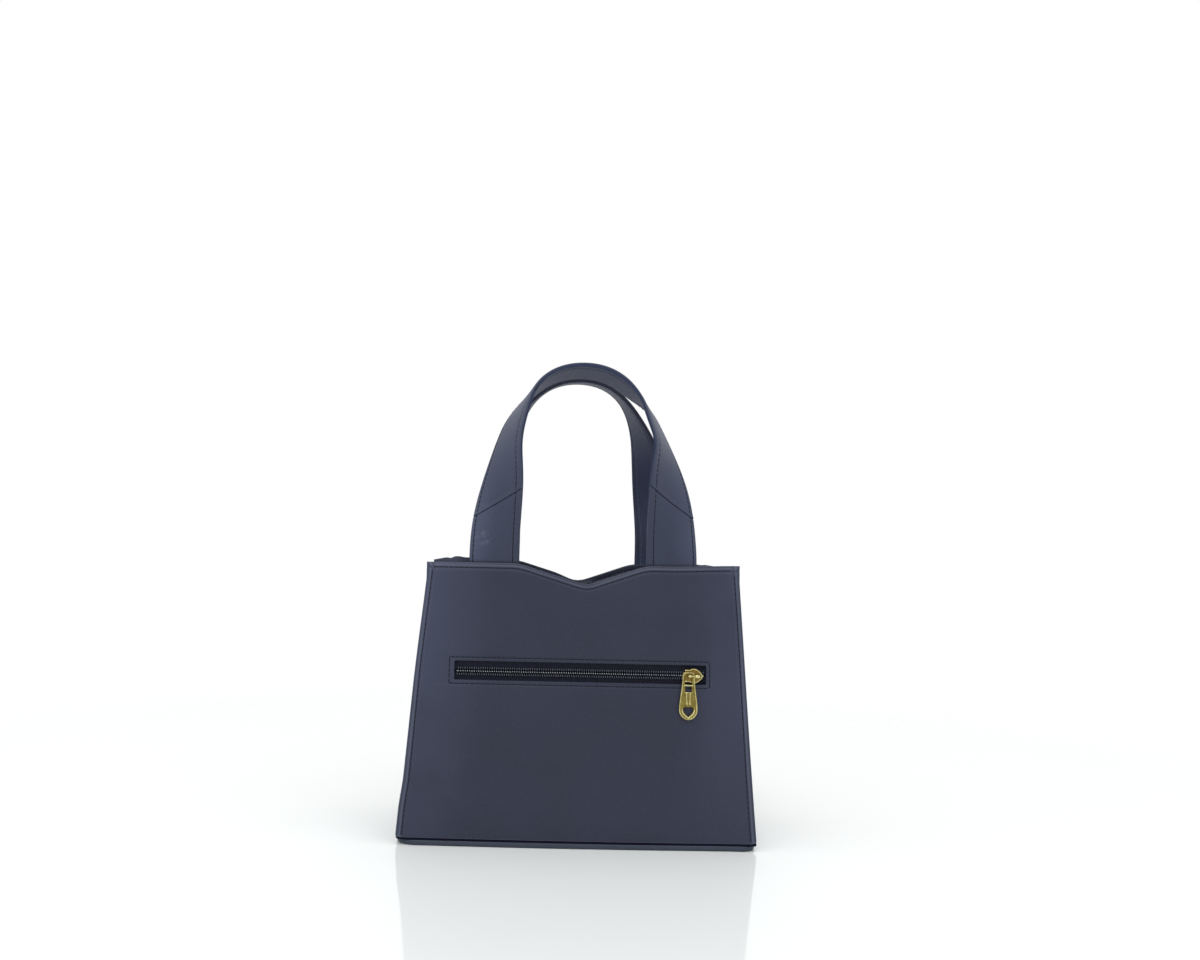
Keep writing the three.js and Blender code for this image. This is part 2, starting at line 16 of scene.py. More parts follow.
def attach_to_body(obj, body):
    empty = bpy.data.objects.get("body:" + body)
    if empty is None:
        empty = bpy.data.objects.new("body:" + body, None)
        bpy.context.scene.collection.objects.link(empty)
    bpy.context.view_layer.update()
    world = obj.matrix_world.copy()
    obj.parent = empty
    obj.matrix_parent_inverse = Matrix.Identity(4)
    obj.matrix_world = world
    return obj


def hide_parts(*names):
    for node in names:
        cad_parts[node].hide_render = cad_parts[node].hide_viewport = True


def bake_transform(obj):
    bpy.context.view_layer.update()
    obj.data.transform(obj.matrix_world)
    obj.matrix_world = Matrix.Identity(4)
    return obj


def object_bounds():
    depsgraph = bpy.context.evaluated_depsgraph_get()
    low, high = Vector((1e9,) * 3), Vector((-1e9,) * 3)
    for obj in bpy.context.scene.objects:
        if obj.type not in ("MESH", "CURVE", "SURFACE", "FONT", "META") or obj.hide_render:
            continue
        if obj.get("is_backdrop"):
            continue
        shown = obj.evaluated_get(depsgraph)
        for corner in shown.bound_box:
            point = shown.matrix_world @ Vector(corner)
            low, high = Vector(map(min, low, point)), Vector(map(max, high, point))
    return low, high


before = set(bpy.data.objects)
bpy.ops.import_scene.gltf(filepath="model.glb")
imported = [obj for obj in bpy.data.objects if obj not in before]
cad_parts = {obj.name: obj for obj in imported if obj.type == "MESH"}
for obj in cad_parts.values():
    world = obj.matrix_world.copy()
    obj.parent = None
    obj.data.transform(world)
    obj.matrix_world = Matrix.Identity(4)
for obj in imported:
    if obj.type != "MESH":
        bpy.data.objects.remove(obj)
cad_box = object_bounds()

MM = 0.001
FRONT, BACK = -1, 1
LEFT, RIGHT = -1, 1
UPPER, LOWER = 1, -1
WALL_WORDS = {FRONT: "front", BACK: "back"}
SIDE_WORDS = {LEFT: "left", RIGHT: "right"}
ZIP_WORDS = {UPPER: "upper", LOWER: "lower"}

# The bag's driving sizes, as in its solids
BASE_WIDTH, TOP_WIDTH, BODY_HEIGHT = 206, 180, 163
BASE_DEPTH, TOP_DEPTH = 84, 68
NOTCH_WIDTH, NOTCH_DEPTH, NOTCH_SHIFT, NOTCH_ROUND = 74, 11.5, 2.6, 9
LEATHER, GUSSET, FACING, LINING, SEAM = 2, 1.2, 1.2, 0.6, 0.3
STRAP_FACE, STRAP_BACKING, STRAP_WIDTH = 1.4, 1, 28
BASE_EDGE, BASE_BOARD = 3.6, 2
HANDLE_SPREAD, HANDLE_RISE, LEG_REACH, CROWN_REACH = 104, 116.5, 74, 38
TWIST_RISE, HANDLE_LEAN, FOLD_RISE = 114, radians(6.5), 1.4
MITRE_OUTER, MITRE_INNER, TAB_DROP = 28.5, 45, 22
WINDOW_LENGTH, WINDOW_HEIGHT, ZIP_HEIGHT = 145, 10, 100.5
TAPE_WIDTH, TAPE_OVERHANG, TAPE = 14, 6, 0.6
FACING_DROP, LINING_OVERLAP = 37.8, 8
LINING_DEPTH, POUCH_FRONT, POUCH_DEPTH = 10.9, 4.6, 6
POUCH_DROP, POUCH_RISE, POUCH_MOUTH = 70, 15, 16

FOOT = BASE_EDGE + SEAM
RISE = BODY_HEIGHT - FOOT
LEAN = atan2((BASE_DEPTH - TOP_DEPTH) / 2, RISE)
WALL = hypot((BASE_DEPTH - TOP_DEPTH) / 2, RISE)
STRAP = STRAP_FACE + SEAM + STRAP_BACKING
TAB_FRONT = LEATHER + SEAM
FACING_FRONT = TAB_FRONT + STRAP + SEAM
ZIP = (ZIP_HEIGHT - FOOT) / cos(LEAN)
CHAIN = ZIP - 0.5
SLIDER_AT = WINDOW_LENGTH / 2 - 7.5


def lerp(a, b, t):
    return a + (b - a) * t


def clamp(t):
    return min(1, max(0, t))


def smooth(x, low, high):
    """0 at low, 1 at high, the same beyond and an eased step between; low may be the larger one."""
    t = clamp((x - low) / (high - low))
    return t * t * (3 - 2 * t)


def ramps(x, steps):
    """Sum of eased steps, each how far it rises and the stretch over which it does."""
    return sum(rise * smooth(x, low, high) for rise, low, high in steps)


def hump(x, middle, width):
    """1 at the middle, dying away over a width on either side."""
    return exp(-(((x - middle) / width) ** 2))


def humps(x, bulges):
    """Sum of humps, each how far it rises, its middle and its width."""
    return sum(rise * hump(x, middle, width) for rise, middle, width in bulges)


def spread(low, high, step):
    """Evenly spaced numbers from low to high, no further apart than step."""
    count = max(1, ceil(abs(high - low) / step - 1e-6))
    return [lerp(low, high, i / count) for i in range(count + 1)]


def half_width(up):
    return lerp(BASE_WIDTH, TOP_WIDTH, up / WALL) / 2


def wall_point(side, x, depth, up):
    """A point of a wall: across, in from its outer face, up its slope."""
    y = depth * cos(LEAN) + up * sin(LEAN)
    z = up * cos(LEAN) - depth * sin(LEAN)
    return Vector((x, side * (BASE_DEPTH / 2 - y), FOOT + z))


def wall_vector(side, across, inward, up):
    return wall_point(side, across, inward, up) - wall_point(side, 0, 0, 0)


def on_wall(side, grid, depth):
    """Points of a wall for a grid of places across and up, each as deep as depth says."""
    return [[wall_point(side, x, depth(x, up), up) for x, up in line] for line in grid]


def top_edge(x):
    """Height of the wall's notched top edge, up its slope, with the notch's corners rounded."""
    make_up = 1.05  # for the depth that rounding takes

    def notch(at):
        off = at - NOTCH_SHIFT
        reach = NOTCH_WIDTH / 2 - (NOTCH_SHIFT if off > 0 else -NOTCH_SHIFT)
        return max(0, 1 - abs(off) / reach)

    samples = [notch(x + NOTCH_ROUND * (i / 8 - 0.5)) for i in range(9)]
    return WALL - NOTCH_DEPTH * make_up * sum(samples) / len(samples)


# Shader building
class Field:
    """A socket of a node tree, or the bare tree: it takes part in sums and makes nodes."""

    def __init__(self, tree, socket=None):
        self.tree, self.socket = tree, socket

    def node(self, kind, output=0, settings=None, **inputs):
        """Makes a node of a kind and gives one of its outputs, by number or name.

        Inputs are called _number or Name_with_underscores, and take a Field or a plain value.
        """
        made = self.tree.nodes.new(kind)
        for key, value in (settings or {}).items():
            setattr(made, key, value)
        for key, value in inputs.items():
            at = int(key[1:]) if key[0] == "_" else key.replace("_", " ")
            if isinstance(value, Field):
                self.tree.links.new(value.socket, made.inputs[at])
            else:
                made.inputs[at].default_value = value
        return Field(self.tree, made.outputs[output]) if made.outputs else None

    def math(self, operation, other=0.0, reflected=False):
        first, second = (other, self) if reflected else (self, other)
        return self.node("ShaderNodeMath", 0, {"operation": operation}, _0=first, _1=second)

    def __add__(self, other):
        return self.math("ADD", other)

    def __sub__(self, other):
        return self.math("SUBTRACT", other)

    def __rsub__(self, other):
        return self.math("SUBTRACT", other, reflected=True)

    def __mul__(self, other):
        return self.math("MULTIPLY", other)

    def __abs__(self):
        return self.math("ABSOLUTE")

    __radd__ = __add__
    __rmul__ = __mul__

    def step(self, low, high, to_low=0.0, to_high=1.0):
        """Eased step between two values."""
        ends = {"_1": low, "_2": high, "_3": to_low, "_4": to_high}
        return self.node("ShaderNodeMapRange", 0, {"interpolation_type": "SMOOTHSTEP"}, _0=self, **ends)

    def mix(self, dark, light):
        """Colour between two colours, by this value."""
        dark = dark if isinstance(dark, Field) else (*dark, 1)
        return self.node("ShaderNodeMix", 2, {"data_type": "RGBA"}, _0=self, _6=dark, _7=(*light, 1))


def srgb(*colour):
    """Linear colour of a screen colour, 0 to 255."""
    shares = [c / 255 for c in colour]
    return tuple(c / 12.92 if c < 0.04045 else ((c + 0.055) / 1.055) ** 2.4 for c in shares)


class Finish:
    """A procedural material on one principled shader, patterned in the object's own space."""

    def __init__(self, name, **constants):
        self.material = bpy.data.materials.new(name)
        self.material.use_nodes = True
        self.tree = self.material.node_tree
        self.shader = self.tree.nodes["Principled BSDF"]
        self.node = Field(self.tree).node
        self.place = self.node("ShaderNodeTexCoord", "Object")
        for key, value in constants.items():
            self.shader.inputs[key.replace("_", " ")].default_value = value

    def noise(self, scale, detail=2.0, roughness=0.5):
        values = {"Scale": scale, "Detail": detail, "Roughness": roughness}
        return self.node("ShaderNodeTexNoise", Vector=self.place, **values)

    def cells(self, scale):
        """Distance from the borders of irregular cells."""
        borders = {"feature": "DISTANCE_TO_EDGE"}
        return self.node("ShaderNodeTexVoronoi", 0, borders, Vector=self.place, Scale=scale)

    def waves(self, scale, direction, distortion):
        values = {"Scale": scale, "Distortion": distortion, "Detail_Scale": 2.0}
        bands = {"bands_direction": direction}
        return self.node("ShaderNodeTexWave", "Fac", bands, Vector=self.place, **values)

    def standing_out(self):
        """How far a face stands out at an edge, from its surroundings."""
        return self.node("ShaderNodeNewGeometry", "Pointiness")

    def axis(self, word):
        """Place along an axis."""
        return self.node("ShaderNodeSeparateXYZ", word, Vector=self.place) * (1 / MM)

    def distance(self, spot):
        """Distance from a spot."""
        apart = {"operation": "DISTANCE"}
        spot = [c * MM for c in spot]
        return self.node("ShaderNodeVectorMath", "Value", apart, _0=self.place, _1=spot) * (1 / MM)

    def feed(self, name, field):
        self.tree.links.new(field.socket, self.shader.inputs[name])

    def bump(self, height, strength, distance):
        values = {"Strength": strength, "Distance": distance * MM}
        self.feed("Normal", self.node("ShaderNodeBump", Height=height, **values))


def leatherette_finish(
    name, dark, light, grain=0.3, roughness=0.46, shine=0.3,
    handled=None, sides=None, edges=None, edge_range=(0.503, 0.522), root_shadow_height=None, scuff=None,
):
    """Navy leatherette: fine pebbled grain, faint cloudy shading, a soft satin sheen.

    An upper-part tone paints light and shade on a handle: lighter on the strap's faces for the light from
    above, darker on the backing under the arch. A paler tone towards the bag's sides, and how far out it
    starts and ends, is painted light, stronger high up and to the left. The edge colour is dark edge paint on
    the straps and a painted highlight along the walls' turned edges. Below a height by the root a contact
    shadow is painted where a strap goes in behind the wall. A scuff is a rubbed spot.
    """
    finish = Finish(name, Specular_IOR_Level=shine)
    across, height = finish.axis("X"), finish.axis("Z")
    # heights over which the painted light and shade of a handle's upper part comes in
    top_shading_low, top_shading_high = 170, 235
    zip_margin, zip_ends = (8.5, 10.5), (80, 83)  # between them no edge is paler
    clouds = finish.noise(22, 3)
    pebbles = finish.cells(1150).step(0.0, 0.32)
    creases = finish.cells(420).step(0.0, 0.12)
    fine = finish.noise(2600)
    tone = 0.35 * clouds.step(0.25, 0.75) + 0.35 * pebbles + 0.3 * fine
    colour = tone.mix(dark, light)
    # painted light and shade on a handle's upper part, for the light from above and the shade under the arch
    if handled:
        colour = (0.8 * height.step(top_shading_low, top_shading_high)).mix(colour, handled)
    # painted light towards the bag's sides, stronger high up and to the left, where more light falls
    if sides:
        side_light_colour, start, end = sides
        outer = abs(across).step(start, end) * clouds.step(0.1, 0.6)
        stronger_high_and_left = height.step(0, 150, 0.33, 0.95) * across.step(100, -100, 0.9, 1.2)
        colour = (outer * stronger_high_and_left).mix(colour, side_light_colour)
    # edge colour where edges stand out: dark edge paint on the straps, a painted highlight on the walls
    if edges:
        past_zip = abs(height - ZIP_HEIGHT).step(*zip_margin)
        beside_zip = abs(across).step(*zip_ends)
        edge = finish.standing_out().step(*edge_range) * past_zip.math("MAXIMUM", beside_zip)
        colour = (0.7 * edge).mix(colour, edges)
    # painted contact shadow where the strap goes in behind the wall's top edge
    if root_shadow_height:
        colour = (0.6 * height.step(root_shadow_height + 1.8, root_shadow_height)).mix(colour, edges)
    if scuff:
        rubbed = finish.distance(scuff).step(5.8, 1.5) * finish.noise(240).step(0.4, 0.56)
        specks = finish.noise(1500, 4, 0.7).step(0.47, 0.6)
        colour = (0.6 * rubbed * specks).mix(colour, srgb(122, 128, 144))
    finish.feed("Base Color", colour)
    finish.feed("Roughness", roughness - 0.1 * pebbles + 0.1 * clouds)
    finish.bump(0.7 * pebbles + 0.18 * creases + 0.25 * fine, grain, 0.12)
    return finish.material


def cloth_finish(name, dark, light, threads):
    """Plain woven cloth: two sets of threads crossing, so many to the metre."""
    finish = Finish(name, Specular_IOR_Level=0.25)
    weave = (finish.waves(threads, "X", 0.6) * finish.waves(threads, "Z", 0.6)).math("POWER", 0.5)
    worn = finish.noise(60, 4, 0.6)
    finish.feed("Base Color", (0.6 * weave + 0.4 * worn).mix(dark, light))
    finish.feed("Roughness", 0.8 + 0.1 * worn)
    finish.bump(weave, 0.35, 0.1)
    return finish.material


def board_finish(name):
    """Pressed fibre board."""
    finish = Finish(name, Specular_IOR_Level=0.2)
    fibres = finish.noise(500, 5, 0.7)
    finish.feed("Base Color", fibres.step(0.3, 0.7).mix(srgb(118, 110, 96), srgb(158, 150, 136)))
    finish.feed("Roughness", 0.8 + 0.1 * fibres)
    finish.bump(fibres, 0.2, 0.2)
    return finish.material


def metal_finish(name, dark, light, roughness):
    """Plated metal, tarnished in patches and brighter where it stands out."""
    finish = Finish(name, Metallic=1.0)
    patches = finish.noise(420, 5, 0.65)
    specks = finish.noise(2400, 3, 0.6)
    proud = finish.standing_out().step(0.48, 0.6)
    bright = 0.55 * patches.step(0.35, 0.9) + 0.15 * specks + 0.45 * proud
    finish.feed("Base Color", bright.mix(dark, light))
    finish.feed("Roughness", roughness - 0.16 * patches + 0.1 * specks)
    finish.bump(0.6 * specks + 0.4 * patches, 0.12, 0.1)
    return finish.material


def plastic_finish(name, dark, light, roughness, shine):
    """Moulded nylon, drawn along its length."""
    finish = Finish(name, Specular_IOR_Level=shine)
    streaks = finish.noise(900, 3, 0.55)
    finish.feed("Base Color", streaks.step(0.3, 0.7).mix(dark, light))
    finish.feed("Roughness", roughness + 0.15 * streaks)
    finish.bump(streaks, 0.1, 0.1)
    return finish.material


def thread_finish(name, dark, light):
    """Twisted sewing thread."""
    finish = Finish(name, Specular_IOR_Level=0.15)
    twist = finish.waves(1500, "DIAGONAL", 1.5)
    finish.feed("Base Color", twist.mix(dark, light))
    finish.feed("Roughness", 0.55 + 0.1 * twist)
    finish.bump(twist, 0.4, 0.08)
    return finish.material


# walls: painted light towards the sides and a painted highlight along the edges
PANEL_SKIN = leatherette_finish(
    "panel_leatherette",
    srgb(34, 37, 53),
    srgb(46, 50, 68),
    sides=(srgb(56, 62, 82), 45, 100),
    edges=srgb(84, 90, 108),
    edge_range=(0.505, 0.53),
)
# straps: painted light on the upper part and on the legs' outer sides, a painted contact shadow at the root,
# dark edge paint
STRAP_SKIN = leatherette_finish(
    "strap_leatherette",
    srgb(38, 43, 60),
    srgb(54, 61, 81),
    grain=0.26,
    handled=srgb(59, 66, 87),
    sides=(srgb(63, 70, 91), 50, 68),
    edges=srgb(20, 19, 34),
    root_shadow_height=163.2,
    scuff=(-58.5, -30, 177.5),
)
# backing: painted shade under the arch, and dark edge paint
BACKING_SKIN = leatherette_finish(
    "backing_leatherette",
    srgb(47, 54, 75),
    srgb(65, 74, 99),
    grain=0.26,
    roughness=0.56,
    handled=srgb(36, 45, 76),
    edges=srgb(16, 15, 30),
)
# base: painted paler than the walls for the light reflected from the table
BASE_SKIN_PAINTED_FLOOR_LIGHT = leatherette_finish("base_leatherette", srgb(46, 53, 66), srgb(60, 68, 82))
# facing: painted paler than the walls to lift the shade inside the mouth
FACING_SKIN_PAINTED_LIGHTER = leatherette_finish("facing_leatherette", srgb(46, 50, 65), srgb(58, 63, 80))
# welt: a near-black cord, its colour also painted shade in the seam gap
WELT_AND_SEAM_SHADE = leatherette_finish("welt_leatherette", srgb(10, 10, 25), srgb(20, 20, 40), 0.2, 0.75, 0.06)
LINING_CLOTH = cloth_finish("lining_cloth", srgb(38, 42, 54), srgb(66, 71, 86), 520)
TAPE_CLOTH = cloth_finish("zip_tape_cloth", srgb(19, 20, 32), srgb(45, 47, 63), 700)
COIL_NYLON = plastic_finish("zip_coil_nylon", srgb(14, 15, 24), srgb(30, 33, 42), 0.34, 0.1)
# coil heads: the same nylon, painted pale for the glints along the chain's middle
COIL_HEADS_PAINTED_GLINT = plastic_finish("zip_coil_heads", srgb(138, 143, 150), srgb(210, 214, 220), 0.3, 0.4)
COIL_SEWING = plastic_finish("zip_coil_sewing", srgb(66, 70, 80), srgb(99, 103, 113), 0.6, 0.15)
BRASS = metal_finish("antique_brass", srgb(136, 122, 60), srgb(240, 232, 172), 0.27)
# field and recess brass: darker for patina and for painted shade in the recesses and under the bridge
FIELD_BRASS_PATINA_AND_SHADE = metal_finish("antique_brass_field", srgb(92, 80, 34), srgb(178, 162, 92), 0.36)
RECESS_BRASS_PATINA_AND_SHADE = metal_finish("antique_brass_recess", srgb(98, 76, 32), srgb(180, 150, 86), 0.4)
NICKEL = metal_finish("snap_nickel", srgb(120, 120, 118), srgb(214, 214, 210), 0.3)
BOARD = board_finish("fibre_board")
THREAD = thread_finish("navy_thread", srgb(16, 18, 27), srgb(30, 33, 45))
INNER_THREAD = thread_finish("pale_navy_thread", srgb(62, 68, 84), srgb(98, 106, 124))


# Mesh building
def link(name, data):
    made = bpy.data.objects.new(name, data)
    bpy.context.collection.objects.link(made)
    return made


def plain_mesh(made):
    """An object's mesh with its modifiers worked in."""
    graph = bpy.context.evaluated_depsgraph_get()
    return bpy.data.meshes.new_from_object(made.evaluated_get(graph))


def shade_smooth(mesh):
    mesh.polygons.foreach_set("use_smooth", [True] * len(mesh.polygons))


def add_object(name, mesh, material):
    mesh.materials.clear()
    mesh.materials.append(material)
    shade_smooth(mesh)
    return link(name, mesh)


def bake(made):
    """Turns an object's modifiers into its plain mesh."""
    mesh = plain_mesh(made)
    made.modifiers.clear()
    made.data = mesh
    shade_smooth(mesh)
    return made


def thick_sheet(name, front, back, material, edge, keep=None):
    """A sheet between two grids of points, its open edges closed and rounded; keep picks the cells."""
    rows, columns = len(front), len(front[0])

    def at(layer, cell):
        return (layer * rows + cell[0]) * columns + cell[1]

    faces, sides = [], set()
    for row in range(rows - 1):
        for column in range(columns - 1):
            if keep and not keep(row, column):
                continue
            loop = [(row, column), (row, column + 1), (row + 1, column + 1), (row + 1, column)]
            faces.append([at(0, cell) for cell in loop])
            faces.append([at(1, cell) for cell in reversed(loop)])
            sides.update(zip(loop, loop[1:] + loop[:1]))
    for a, b in sorted(sides):
        if (b, a) not in sides:
            faces.append([at(0, b), at(0, a), at(1, a), at(1, b)])
    points = [point for grid in (front, back) for line in grid for point in line]
    used = sorted({corner for face in faces for corner in face})
    renumber = {old: new for new, old in enumerate(used)}
    mesh = bpy.data.meshes.new(name)
    mesh.from_pydata([points[old] * MM for old in used], [], [[renumber[c] for c in face] for face in faces])
    made = add_object(name, mesh, material)
    rounding = made.modifiers.new("rounded edge", "BEVEL")
    rounding.width, rounding.segments = edge * MM, 3
    rounding.limit_method, rounding.angle_limit = "ANGLE", radians(50)
    return bake(made)


def cut_plate(name, outlines, low, high, edge, place, material):
    """A plate cut to outlines (the first outside, the rest holes), between two heights, edges rounded."""
    flat = bpy.data.curves.new(name, "CURVE")
    flat.dimensions, flat.fill_mode = "2D", "BOTH"
    flat.extrude = ((high - low) / 2 - edge) * MM
    flat.bevel_depth, flat.bevel_resolution = edge * MM, 2
    flat.offset = -edge * MM
    for outline in outlines:
        spline = flat.splines.new("POLY")
        spline.points.add(len(outline) - 1)
        for point, (x, y) in zip(spline.points, outline):
            point.co = (x * MM, y * MM, 0, 1)
        spline.use_cyclic_u = True
    drawn = link(f"{name}_outline", flat)
    mesh = plain_mesh(drawn)
    bpy.data.objects.remove(drawn)
    bpy.data.curves.remove(flat)
    mesh.transform(place @ Matrix.Translation((0, 0, (low + high) / 2 * MM)))
    return add_object(name, mesh, material)


def swept_bead(name, line, radii, material, sides):
    """A closed round bar along a line of points, with its own radius at each."""
    rings = []
    turns = [2 * pi * k / sides for k in range(sides)]
    across = (line[1] - line[0]).orthogonal()
    for i, (point, radius) in enumerate(zip(line, radii)):
        way = (line[min(i + 1, len(line) - 1)] - line[max(i - 1, 0)]).normalized()
        across = (across - way * across.dot(way)).normalized()
        other = way.cross(across)
        rings.append([point + (across * cos(t) + other * sin(t)) * radius for t in turns])
    faces = [list(reversed(range(sides)))]
    for i in range(len(rings) - 1):
        for k in range(sides):
            n = (k + 1) % sides
            faces.append([i * sides + k, i * sides + n, (i + 1) * sides + n, (i + 1) * sides + k])
    faces.append([(len(rings) - 1) * sides + k for k in range(sides)])
    mesh = bpy.data.meshes.new(name)
    mesh.from_pydata([p * MM for ring in rings for p in ring], [], faces)
    return add_object(name, mesh, material)


def joined(name, parts):
    """One object from several."""
    with bpy.context.temp_override(active_object=parts[0], selected_editable_objects=parts):
        bpy.ops.object.join()
    parts[0].name = parts[0].data.name = name
    return parts[0]


def attach(made, body="bag"):
    """Gives a finished piece its body."""
    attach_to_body(made, body)


def settle(made, body="bag"):
    """Attaches a piece that stands for the solid of its own name, less the last word."""
    attach(made, body)
    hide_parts(made.name.rsplit("_", 1)[0])


def cloth_area(grid):
    """Area in square metres of a grid of points."""
    total = 0
    for low, high in zip(grid, grid[1:]):
        for i in range(len(low) - 1):
            total += (high[i + 1] - low[i]).cross(high[i] - low[i + 1]).length / 2
    return total * MM * MM


def cloth_size(grid):
    """Greatest width and length in metres of the cloth that a grid of points was cut from."""
    wide = max(sum((b - a).length for a, b in zip(line, line[1:])) for line in grid)
    long = max(sum((b - a).length for a, b in zip(line, line[1:])) for line in zip(*grid))
    return wide * MM, long * MM


def lining_sheet(name, front, back, edge=0.15):
    """A piece of lining cloth, held on the bag; its flat size and area are worked out but not kept."""
    made = thick_sheet(name, front, back, LINING_CLOTH, edge)
    cloth_size(front)
    cloth_area(front)
    settle(made)


# Walls
EDGE_STITCH = 3.0
EDGE_ROWS = (0, 0.7, 1.6, 2.5, EDGE_STITCH, 3.5, 4.2, 5.4, 7.5, 10)  # in from a free edge
WINDOW_LEFT, WINDOW_RIGHT = -WINDOW_LENGTH / 2 - 0.9, WINDOW_LENGTH / 2
WINDOW_ROUND, WINDOW_OPEN = 0.9, WINDOW_HEIGHT / 2 + 0.5
ZIP_STITCH_LEFT, ZIP_STITCH_RIGHT = WINDOW_LEFT - 2.9, WINDOW_RIGHT + 2.0
ZIP_STITCH_UP = WINDOW_HEIGHT / 2 + 2.6
GROOVE, GROOVE_WIDTH = 0.34, 0.65
EDGE_ROLL, WINDOW_ROLL = 1.0, 0.35
SEAM_GAP = 0.6  # left open over the base's welt
SWELL, SWELL_REACH, EVEN_SWELL, WAVINESS = 0.9, 110, 0.25, 0.22
BOW, FLARE = 1.35, 0.95  # how far the front wall's left edge stands out, and its foot beyond that
BELLY = BOW + FLARE
FOOT_BOW, FOOT_BOW_MIDDLE, FOOT_BOW_SPAN = 1.7, -15, 200
CORNER = 1.4  # drawn in at a wall's lower corners
STITCH_DRIFT = 0.65  # further in from a wall's side edges at the foot
RUFFLE_END, RUFFLE_LEFT, RUFFLE_RIGHT = 1.5, 3.3, 0.9  # the front facing's rise at the shoulders

# How the walls hang, as steps: the front one's top edge rises to the right, the back one's stands up beside
# its handle ends, and the front one's side edges belly out low on the left and high on the right
TOP_RISES = {
    FRONT: [(1.2, 50, 92)],
    BACK: [(1.2, -87, -76), (-1.2, -14, 0), (1, 50, 64), (-1, 74, 88), (-0.6, 80, 90)],
}
FRONT_BELLIES = {
    LEFT: [(BOW, 165, 85), (FLARE, 36, 16)],
    RIGHT: [(0.9, 45, 150)],
}


def wall_top(side, x):
    """A wall's top edge as it hangs."""
    return top_edge(x) + ramps(x, TOP_RISES[side])


def side_edge(side, sign, up):
    """A wall's side edge as it hangs, tucked in at the corner."""
    belly = ramps(up, FRONT_BELLIES[sign]) if side == FRONT else 0
    tuck = CORNER * (1 - clamp((up - SEAM_GAP) / CORNER)) ** 2.5
    return sign * (half_width(up) + belly - tuck)


def stitch_inset(up):
    """How far a wall's side stitching runs in from the edge: further towards the foot."""
    return EDGE_STITCH + STITCH_DRIFT * smooth(up, 130, 10)


def foot_bow(x):
    """How far the front wall's foot bows out."""
    return FOOT_BOW * max(0, cos((x - FOOT_BOW_MIDDLE) / FOOT_BOW_SPAN * pi))


def groove_at(distance):
    return GROOVE * hump(distance, 0, GROOVE_WIDTH)


def panel_depth(side, x, up):
    """Outer face of a wall, in from its plane: soft swelling, and grooves along the stitching."""
    swell = SWELL * cos(x / SWELL_REACH * pi / 2) * sin(clamp(up / WALL) * pi) + EVEN_SWELL
    swell += WAVINESS * sin(x * 0.043 + 1.1 + side) * sin(up * 0.06 + 0.4)
    in_from_sides = [sign * (side_edge(side, sign, up) - x) for sign in (LEFT, RIGHT)]
    in_from_top = wall_top(side, x) - up
    lines = [abs(reached - stitch_inset(up)) for reached in in_from_sides] + [abs(in_from_top - EDGE_STITCH)]
    swell -= EDGE_ROLL * smooth(min(*in_from_sides, in_from_top), 2.5, -0.4)
    if side == FRONT:
        swell += foot_bow(x) * smooth(up, 35, 0)
        from_zip = abs(up - ZIP)
        lines.append(abs(max(ZIP_STITCH_LEFT - x, x - ZIP_STITCH_RIGHT, from_zip - ZIP_STITCH_UP)))
        from_window = max(WINDOW_LEFT - x, x - WINDOW_RIGHT, from_zip - WINDOW_OPEN)
        swell -= WINDOW_ROLL * smooth(from_window, 2, -0.2)
    return groove_at(min(lines)) - swell


def round_window(x, up):
    """Moves a point by the window's corners so that they come out round."""
    sign = -1 if x < 0 else 1
    middle_x = WINDOW_LEFT + WINDOW_ROUND if x < 0 else WINDOW_RIGHT - WINDOW_ROUND
    middle_up = ZIP + (WINDOW_OPEN - WINDOW_ROUND) * (-1 if up < ZIP else 1)
    out_x, out_up = (x - middle_x) * sign, abs(up - ZIP) - abs(middle_up - ZIP)
    if out_x <= 0 or out_up <= 0:
        return x, up
    square = max(out_x, out_up)
    pull_in = lerp(square / hypot(out_x, out_up), 1, smooth(square, WINDOW_ROUND, WINDOW_ROUND + 2.2))
    return lerp(middle_x, x, pull_in), lerp(middle_up, up, pull_in)


